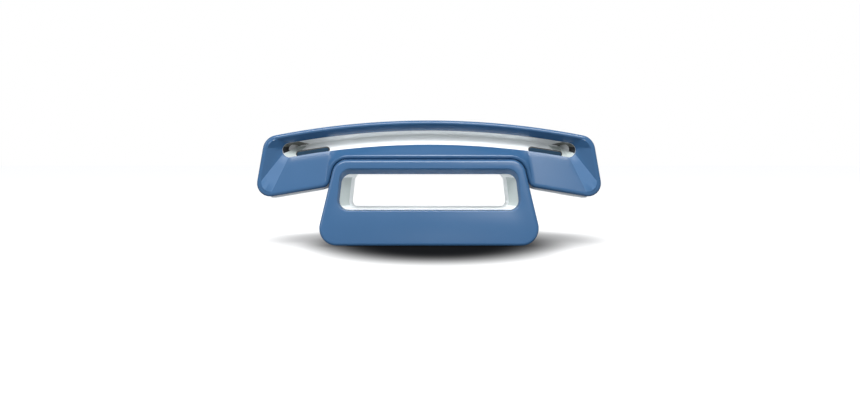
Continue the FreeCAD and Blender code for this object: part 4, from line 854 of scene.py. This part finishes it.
def base_shell(name, side, replaces, ports=False):
    skin = Skin()
    rings = [base_ring(side, 0.0, inset, depth) for depth, inset in GROOVE]
    rings += [base_ring(side, share, 0.0) for share in (0.25, 0.5, 0.75)]
    rings += [lean(base_outline(inset), side, back) for back, inset in quarter(RIM_ROUND, RIM_ROUND)]
    out, mouth = LINING_WALL + FIT, MOUTH_FLARE + FUNNEL_EDGE
    land = lean(window_points(mouth + LAND_SIDE, FUNNEL_FOOT + LAND_SIDE, out + FUNNEL_TOP + LAND_TOP,
                              FUNNEL_ROUND + LAND_TOP), side, 0.0)
    edge = lean(window_points(mouth, FUNNEL_FOOT, out + FUNNEL_TOP, FUNNEL_ROUND), side, 0.0)
    lip = lean(window_points(MOUTH_FLARE, LIP_OUT, LIP_OUT, WINDOW_ROUND + 1), side, FUNNEL_DEEP)
    seat = window_points(out + MOUTH_FLARE, out, out, WINDOW_ROUND + out)
    flat = rings[-1]
    rings += [between(flat, land, share) for share in (0.5, 1.0)]
    start, end = towards(edge, lip, SLOPE_START), towards(lip, edge, SLOPE_END)
    rings += bows(land, edge, start, EDGE_SHARES)
    rings.append(between(start, end, 0.5))
    rings += bows(end, lip, pushed(lip, side * SLOPE_TURN), (0.0, *LIP_SHARES))
    rings.append(pushed(lip, side * LIP_THICK))
    rings += [lean(seat, side, FUNNEL_DEEP + LIP_THICK), lean(seat, side, FUNNEL_DEEP + WALL)]
    # the inside of the wall
    rings += [base_ring(side, share, WALL) for share in (0.92, 0.0)]
    skin.run(rings, closed=True)
    if ports:
        cuts = [[box_at(*LINE_MOUTH, depth) for depth in CUT_DEPTHS]]
        cuts += [[ring_at(*hole, depth) for depth in CUT_DEPTHS] for hole in (POWER_HOLE, BUTTON_HOLE)]
        skin = bored(skin, [solid_of(cut) for cut in cuts])
    piece(name, skin, [BLUE], "base", replaces, angle=30)


def window_lining():
    """A white sleeve through the base; each side wall bulges inwards in two facets a side."""
    skin = Skin()
    # where the two facets meet, as a share of the way in from the mouth, and the share of the bulge there
    crease, share = 0.56, 0.64

    def ring(points, fraction):
        """Points between the front's leaning plane, at -1, and the rear's, at 1."""
        return [Vector((p.x, fraction * face_at(p.y, FUNNEL_DEEP + LIP_THICK + 0.05), p.y)) for p in points]

    def narrowing(fraction):
        """How far the side walls stand inside the straight bore; below zero in the flared mouths."""
        distance = 1 - abs(fraction)
        if distance < crease:
            return LINING_BULGE * share * distance / crease - MOUTH_FLARE * (1 - distance / crease)
        turn = (distance - crease) / (1 - crease) * math.pi / 2
        return LINING_BULGE * (share + (1 - share) * math.sin(turn))

    def bore(fraction):
        return ring(window_points(-narrowing(fraction), 0.0, 0.0, WINDOW_ROUND), fraction)

    def outside(fraction):
        side = LINING_WALL + max(0.0, -narrowing(fraction))
        return ring(window_points(side, LINING_WALL, LINING_WALL, WINDOW_ROUND + LINING_WALL), fraction)

    rings = [outside(k) for k in (-1.0, -0.9, -0.75, -0.6, 0.6, 0.75, 0.9, 1.0)]
    half = (1.0, 0.9, 0.75, 0.6, 0.44, 0.3, 0.15)
    rings += [bore(k) for k in (*half, 0.0, *(-k for k in reversed(half)))]
    skin.run(rings, closed=True)
    # the outer facets of the side walls are painted grey white, as painted shade
    skin.mesh.normal_update()
    for face in skin.mesh.faces:
        middle = face.calc_center_median() / MM
        fraction = abs(middle.y) / face_at(middle.z, FUNNEL_DEEP + LIP_THICK)
        if abs(face.normal.x) > 0.8 and fraction > 0.99 - crease:
            face.material_index = 1
    piece("window_sleeve", skin, [WHITE, WHITE_PAINTED_SHADE], "base", ["window_lining"], angle=8)


# ---------------------------------------------------------------- screws, feet, door and keys

# how far apart the screws and the feet are, across and along
SCREW_STEPS, FOOT_STEPS = (62.0, 53.0), (90.0, 49.0)


def cross_head_screws():
    """Four flush screws with a cross recess, their heads facing down."""
    skin = Skin()
    arm, half, head = 1.5, 0.32, 2.6
    cross = [Matrix.Rotation(math.pi / 2 * k, 2) @ Vector(corner) for k in range(4)
             for corner in ((arm, -half), (arm, 0), (arm, half), (half, half))]
    turns = [math.atan2(p.y, p.x) for p in cross]

    def star(share, high):
        return [Vector((p.x * share, p.y * share, high)) for p in cross]

    def rim(radius, high):
        return [Vector((radius * math.cos(turn), radius * math.sin(turn), high)) for turn in turns]

    loops = [star(0, 1.65), star(0.55, 1.6), star(1, 0.95)]
    loops += [rim(radius, high) for radius, high in (
        (1.9, 0.92), (2.3, 1.0), (2.52, 1.15), (head, 1.35), (head, 2.0), (1.3, 2.0), (1.3, 11.0), (0, 11.0))]
    skin.run(loops)
    data = set_out(skin, STEEL, 2, 2, *SCREW_STEPS)
    place("cross_head_screws", data, [STEEL], "base", ["base_screws"])


def soft_feet():
    """Four rubber feet with a ring groove."""
    profile = [(0, 0.0), (3.4, 0.0), (3.6, 0.1), (3.7, 0.5), (4.3, 0.5), (4.4, 0.1), (4.6, 0.0), (5.4, 0.0),
               (5.8, 0.15), (6.0, 0.55), (6.0, 2.0), (0, 2.0)]
    data = set_out(turned(profile, 48), RUBBER, 2, 2, *FOOT_STEPS)
    place("soft_feet", data, [RUBBER], "base", ["rubber_feet"])


def rounded_box(left, right, front, rear, low, high, corner, edge, steps=5):
    """A skin of a flat box with rounded corners, whose lower face (at low) has rounded edges."""
    skin = Skin()
    arcs = polygon_arcs(oblong(left, right, front, rear), [corner] * 4)

    def ring(inset, z):
        return [Vector((p.x, p.y, z)) for p in trace(arcs, [7] * 4, [even(3)] * 4, inset)]

    rings = [ring(0.0, high)] + [ring(inset, low + back) for back, inset in quarter(edge, edge, steps)]
    skin.closed_run(rings)
    return skin


# the middle of an ear's white face: how far out, how steep and how high it is
EAR_AT, EAR_TILT = 80.6, math.atan((HEEL_HIGH - TIP_LOW) / (TIP_REACH - side_reach(HEEL_HIGH) - SEAT_GAP))
EAR_HIGH = TIP_LOW + (TIP_REACH - EAR_AT) * math.tan(EAR_TILT) - FACE_BULGE
MOUTH_PLACE = Matrix.Translation((EAR_AT, 0, EAR_HIGH)) @ Matrix.Rotation(EAR_TILT, 4, "Y")


def battery_door():
    """The door's plate with seven grip ribs across its inner end."""
    plate = rounded_box(-11.65, 11.65, -17.5, 17.5, 0.0, 1.6, 0.8, 0.35)
    rib = rounded_box(-0.35, 0.35, -7.0, 7.0, -0.35, 0.3, 0.3, 0.25, 3)
    ribs = set_out(rib, WHITE, 7, 1, 1.5, 0.0)
    ribs.transform(Matrix.Translation((5.2 * MM, 0, 0)))
    settle(plate.mesh, 32)
    plate.add(ribs)
    data = moved(plate.taken("battery_door_plate"), MOUTH_PLACE)
    place("battery_door_plate", data, [WHITE], "battery_door", ["battery_door"])


# a key cap, which faces down: its size, its round and its flange, and how high its face, seat and back are
KEY_LONG, KEY_WIDE, KEY_ROUND, KEY_FLANGE = 7.4, 9.2, 2.4, 0.65
KEY_FACE, KEY_SEAT, KEY_BACK = 52.0, 54.9, 55.6
KEY_FIRST, KEY_STEP, KEY_COLUMN = -14.6, 9.6, 11.0
# name, large legend with its size and shift, small legend, ink
LEGENDS = {
    "menu": ("MENU", 2.1, 0, "", INK), "up": ("up", 0, 0, "", INK), "clear": ("C", 3.4, 0, "", INK),
    "talk": ("TALK", 2.3, 0, "", INK_GREEN), "down": ("down", 0, 0, "", INK),
    "end": ("END", 2.3, 0, "", INK_RED),
    "1": ("1", 4.2, -1.7, "", INK), "2": ("2", 4.2, -1.7, "ABC", INK), "3": ("3", 4.2, -1.7, "DEF", INK),
    "4": ("4", 4.2, -1.7, "GHI", INK), "5": ("5", 4.2, -1.7, "JKL", INK), "6": ("6", 4.2, -1.7, "MNO", INK),
    "7": ("7", 4.2, -1.7, "PQRS", INK), "8": ("8", 4.2, -1.7, "TUV", INK), "9": ("9", 4.2, -1.7, "WXYZ", INK),
    "star": ("*", 5.2, 0, "", INK), "0": ("0", 4.2, 0, "", INK), "hash": ("#", 4.0, 0, "", INK),
}


def lettering(text, size, shift):
    """Flat letters, a hair thick, in the plane that faces up; sizes in millimetres."""
    curve = bpy.data.curves.new("legend", "FONT")
    curve.body = text
    curve.size = size * MM
    curve.align_x, curve.align_y = "CENTER", "CENTER"
    curve.extrude = 0.02 * MM
    curve.resolution_u = 3
    data = baked(loose("legend", curve))
    data.transform(Matrix.Translation((shift * MM, 0, 0)))
    return data


def arrow(turn):
    """A flat triangle that points up, or down with a half turn."""
    corners = [Vector((-1.5, -1.0)), Vector((1.5, -1.0)), Vector((0, 1.5))]
    return solid_of([[Vector((p.x * turn, p.y * turn, z)) for p in corners] for z in (-0.02, 0.02)])


def key(name, row, column):
    """A silver key cap with rounded edges, a flange that keeps it in, and a printed legend on its face."""
    across, along = KEY_FIRST + row * KEY_STEP, (1 - column) * KEY_COLUMN
    skin = Skin()
    arcs = polygon_arcs(oblong(-KEY_LONG / 2, KEY_LONG / 2, -KEY_WIDE / 2, KEY_WIDE / 2), [KEY_ROUND] * 4)

    def ring(inset, z):
        return [Vector((p.x + across, p.y + along, z)) for p in trace(arcs, [7] * 4, [even(2)] * 4, inset)]

    rings = [ring(-KEY_FLANGE, KEY_BACK), ring(-KEY_FLANGE, KEY_SEAT + 0.02), ring(0.0, KEY_SEAT)]
    rings += [ring(inset, KEY_FACE + back) for back, inset in quarter(0.6, 0.9, 5)]
    skin.closed_run(rings)
    settle(skin.mesh, 40)
    large, size, shift, small, ink = LEGENDS[name]
    arrows = {"up": 1, "down": -1}
    legends = [arrow(arrows[large]) if large in arrows else lettering(large, size, shift)]
    if small:
        legends.append(lettering(small, 1.7, 1.9))
    # the legend reads with its top towards the earpiece, and faces down
    turn = Matrix(((0, -1, 0, across), (-1, 0, 0, along), (0, 0, -1, KEY_FACE), (0, 0, 0, 1)))
    for data in legends:
        moved(data, turn)
        before = len(skin.mesh.faces)
        skin.add(data)
        skin.mesh.faces.ensure_lookup_table()
        for face in skin.mesh.faces[before:]:
            face.material_index = 1
            face.smooth = False
    cap, node = f"cap_{name}", f"key_{name}"
    place(cap, skin.taken(cap), [SILVER, ink], node, [node])


# ---------------------------------------------------------------- put together

handset_shell("handset_front_moulding", -1, ["handset_front_shell"])
handset_shell("handset_rear_moulding", 1, ["handset_rear_shell"])
slot_lining("front_slot_liner", -1, ["slot_lining_front"])
slot_lining("rear_slot_liner", 1, ["slot_lining_rear"])
slot_pads("front_slot_pads", -1, ["slot_pads_front"])
slot_pads("rear_slot_pads", 1, ["slot_pads_rear"])
base_shell("base_front_moulding", -1, ["base_front_shell"])
base_shell("base_rear_moulding", 1, ["base_rear_shell"], ports=True)
window_lining()
cross_head_screws()
soft_feet()
battery_door()
for index, key_name in enumerate(LEGENDS):
    key(key_name, *divmod(index, 3))

# CAD nodes that keep their own shape
FINISHES = {
    BLUE: ["locator_button"],
    BLUE_GRAINED: ["base_plate"],
    WHITE: ["cradle", "keypad_panel", "earpiece_face", "mouthpiece_face"],
    STEEL: ["steel_weight"],
    BOARD: ["base_board", "handset_board"],
    TIN: ["radio_shield", "antenna"],
    NYLON_AND_PAINTED_SHADE: ["line_socket", "power_socket", "button_switch", "contact_holder", "battery_tray",
            "earpiece_speaker", "microphone"],
    GOLD: ["contact_springs", "charging_pin_front", "charging_pin_rear", "charging_studs"],
    LENS: ["display_lens"],
    CRYSTAL: ["display_module"],
    SILICONE: ["key_mat"],
    FOAM: ["earpiece_gasket"],
    SLEEVE: ["battery_pack"],
}
for finish, names in FINISHES.items():
    for name in names:
        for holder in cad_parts[name].material_slots:
            holder.material = finish

# ---------------------------------------------------------------- floor, light and camera

def cleared(block):
    """The block's node tree, emptied."""
    block.use_nodes = True
    block.node_tree.nodes.clear()
    return block.node_tree


def floor():
    skin = Skin()
    skin.lid(skin.loop([(-6000, -6000, 0), (6000, -6000, 0), (6000, 6000, 0), (-6000, 6000, 0)]))
    made = loose("floor", skin.taken("floor"))
    # Pale card: as white as the air round it, but for a painted shadow of the base, dark in front and lighter
    # grey behind, which stays put.
    card = bpy.data.materials.new("pale_card_painted_shadow")
    tree = cleared(card)
    where = add(tree, "ShaderNodeTexCoord")

    def painted_shadow_ellipse(middle, reach):
        """A painted shadow: from 0 in an ellipse's middle to 1 outside it. Places and sizes in metres."""
        offset = add(tree, "ShaderNodeVectorMath", [(0, where.outputs["Object"]), (1, (*middle, 0.0))],
                     operation="SUBTRACT")
        scaled = add(tree, "ShaderNodeVectorMath", [(0, offset.outputs["Vector"]), (1, (*reach, 1.0))],
                     operation="DIVIDE")
        away = add(tree, "ShaderNodeVectorMath", [(0, scaled.outputs["Vector"])], operation="LENGTH")
        edge = add(tree, "ShaderNodeMapRange", [("Value", away.outputs["Value"])],
                   interpolation_type="SMOOTHSTEP", From_Min=0.3, From_Max=1.27)
        return add(tree, "ShaderNodeMath", [(0, edge.outputs["Result"]), (1, 3.0)],
                   operation="POWER").outputs["Value"]

    # the painted shadow: a dark ellipse in front of the base and a greyer one behind it, mixed into the
    # card's colour
    front = painted_shadow_ellipse((0.004, -0.016), (0.069, 0.132))
    behind = painted_shadow_ellipse((0.006, 0.035), (0.1, 0.112))
    painted_shadow_behind_softened = add(tree, "ShaderNodeMapRange", [("Value", behind)], To_Min=0.35)
    light = add(tree, "ShaderNodeMath", [(0, front), (1, painted_shadow_behind_softened.outputs["Result"])], operation="MULTIPLY")
    tone = add(tree, "ShaderNodeMix", [("Factor", light.outputs["Value"])], data_type="RGBA",
               A=linear("#17181A"), B=(1, 1, 1, 1))
    path = add(tree, "ShaderNodeLightPath")
    mirrored_share = add(tree, "ShaderNodeMapRange", [("Value", path.outputs["Is Glossy Ray"])],
                         To_Min=1.2, To_Max=0.4)
    glow = add(tree, "ShaderNodeEmission", [("Color", tone.outputs["Result"]),
                                            ("Strength", mirrored_share.outputs["Result"])])
    # a share of the card is lit by the lamps, and so it takes the shadow that the object casts
    shadowed = add(tree, "ShaderNodeMath", [(0, path.outputs["Is Camera Ray"]), (1, 0.35)],
                   operation="MULTIPLY")
    cast = add(tree, "ShaderNodeBsdfDiffuse", [("Color", tone.outputs["Result"])])
    lit = add(tree, "ShaderNodeMixShader", [(0, shadowed.outputs["Value"]), (1, glow.outputs["Emission"]),
                                            (2, cast.outputs["BSDF"])])
    # soft light passes through the card, and from below the card isn't there
    clear = add(tree, "ShaderNodeBsdfTransparent")
    side = add(tree, "ShaderNodeNewGeometry")
    passing = add(tree, "ShaderNodeMath", [(0, path.outputs["Is Diffuse Ray"]),
                                           (1, side.outputs["Backfacing"])], operation="MAXIMUM")
    either = add(tree, "ShaderNodeMixShader", [(0, passing.outputs["Value"]), (1, lit.outputs["Shader"]),
                                               (2, clear.outputs["BSDF"])])
    add(tree, "ShaderNodeOutputMaterial", [("Surface", either.outputs["Shader"])])
    made.data.materials.append(card)


def lamp(name, spot, aim, across, up, power):
    """A soft box: a rectangle that shines at a point. Places and sizes in metres."""
    data = bpy.data.lights.new(name, "AREA")
    data.shape = "RECTANGLE"
    data.size, data.size_y, data.energy = across, up, power
    made = loose(name, data)
    made.location = spot
    made.rotation_euler = (Vector(aim) - Vector(spot)).to_track_quat("-Z", "Y").to_euler()


def surroundings():
    """A pale room: white where the camera sees it, softer where it lights the object."""
    world = bpy.data.worlds.new("pale_room")
    bpy.context.scene.world = world
    tree = cleared(world)
    path = add(tree, "ShaderNodeLightPath")
    seen = add(tree, "ShaderNodeMath", [(0, path.outputs["Is Camera Ray"]),
                                        (1, path.outputs["Is Transmission Ray"])], operation="MAXIMUM")
    where = add(tree, "ShaderNodeTexCoord")
    high = add(tree, "ShaderNodeSeparateXYZ", [(0, where.outputs["Generated"])])
    sky = add(tree, "ShaderNodeMapRange", [("Value", high.outputs["Z"])],
              From_Min=-0.2, From_Max=0.5, To_Min=0.45, To_Max=0.7)
    mirrored_share = add(tree, "ShaderNodeMapRange", [("Value", path.outputs["Is Glossy Ray"])],
                         To_Min=1.0, To_Max=0.65)
    bright = add(tree, "ShaderNodeMath", [(0, sky.outputs["Result"]),
                                          (1, mirrored_share.outputs["Result"])], operation="MULTIPLY")
    soft = add(tree, "ShaderNodeBackground", [("Strength", bright.outputs["Value"])],
               Color=linear("#EEF1F6"))
    plain = add(tree, "ShaderNodeBackground", Color=(1, 1, 1, 1), Strength=1.0)
    both = add(tree, "ShaderNodeMixShader", [(0, seen.outputs["Value"]), (1, soft.outputs["Background"]),
                                             (2, plain.outputs["Background"])])
    add(tree, "ShaderNodeOutputWorld", [("Surface", both.outputs["Shader"])])


floor()
surroundings()
lamp("back_box", (0.0, 0.6, 0.6), (0, 0, 0.02), 0.8, 0.6, 2.5)
lamp("front_box", (0.0, -0.85, 0.98), (0, 0, 0.04), 1.1, 0.42, 16.8)
lamp("right_front_box", (0.19, -1.1, 0.68), (0, 0, 0.04), 0.24, 0.4, 1.0)
lamp("low_front_box", (0.035, -1.6, 0.38), (0, 0, 0.04), 0.12, 0.12, 0.1)
lamp("left_front_box", (-1.0, -0.6, 0.6), (0, 0, 0.04), 0.8, 0.6, 3.0)

data = bpy.data.cameras.new("camera")
data.lens, data.sensor_width = 50.0, 36.0
# shares of the frame's width, so that the object stands above the middle
data.shift_x, data.shift_y = 0.001163, -0.056977
camera = loose("camera", data)
camera.location = (0.0, -0.75, 0.0544)
camera.rotation_euler = (math.pi / 2, 0, 0)
bpy.context.scene.camera = camera
bpy.context.scene.view_settings.view_transform = "Standard"
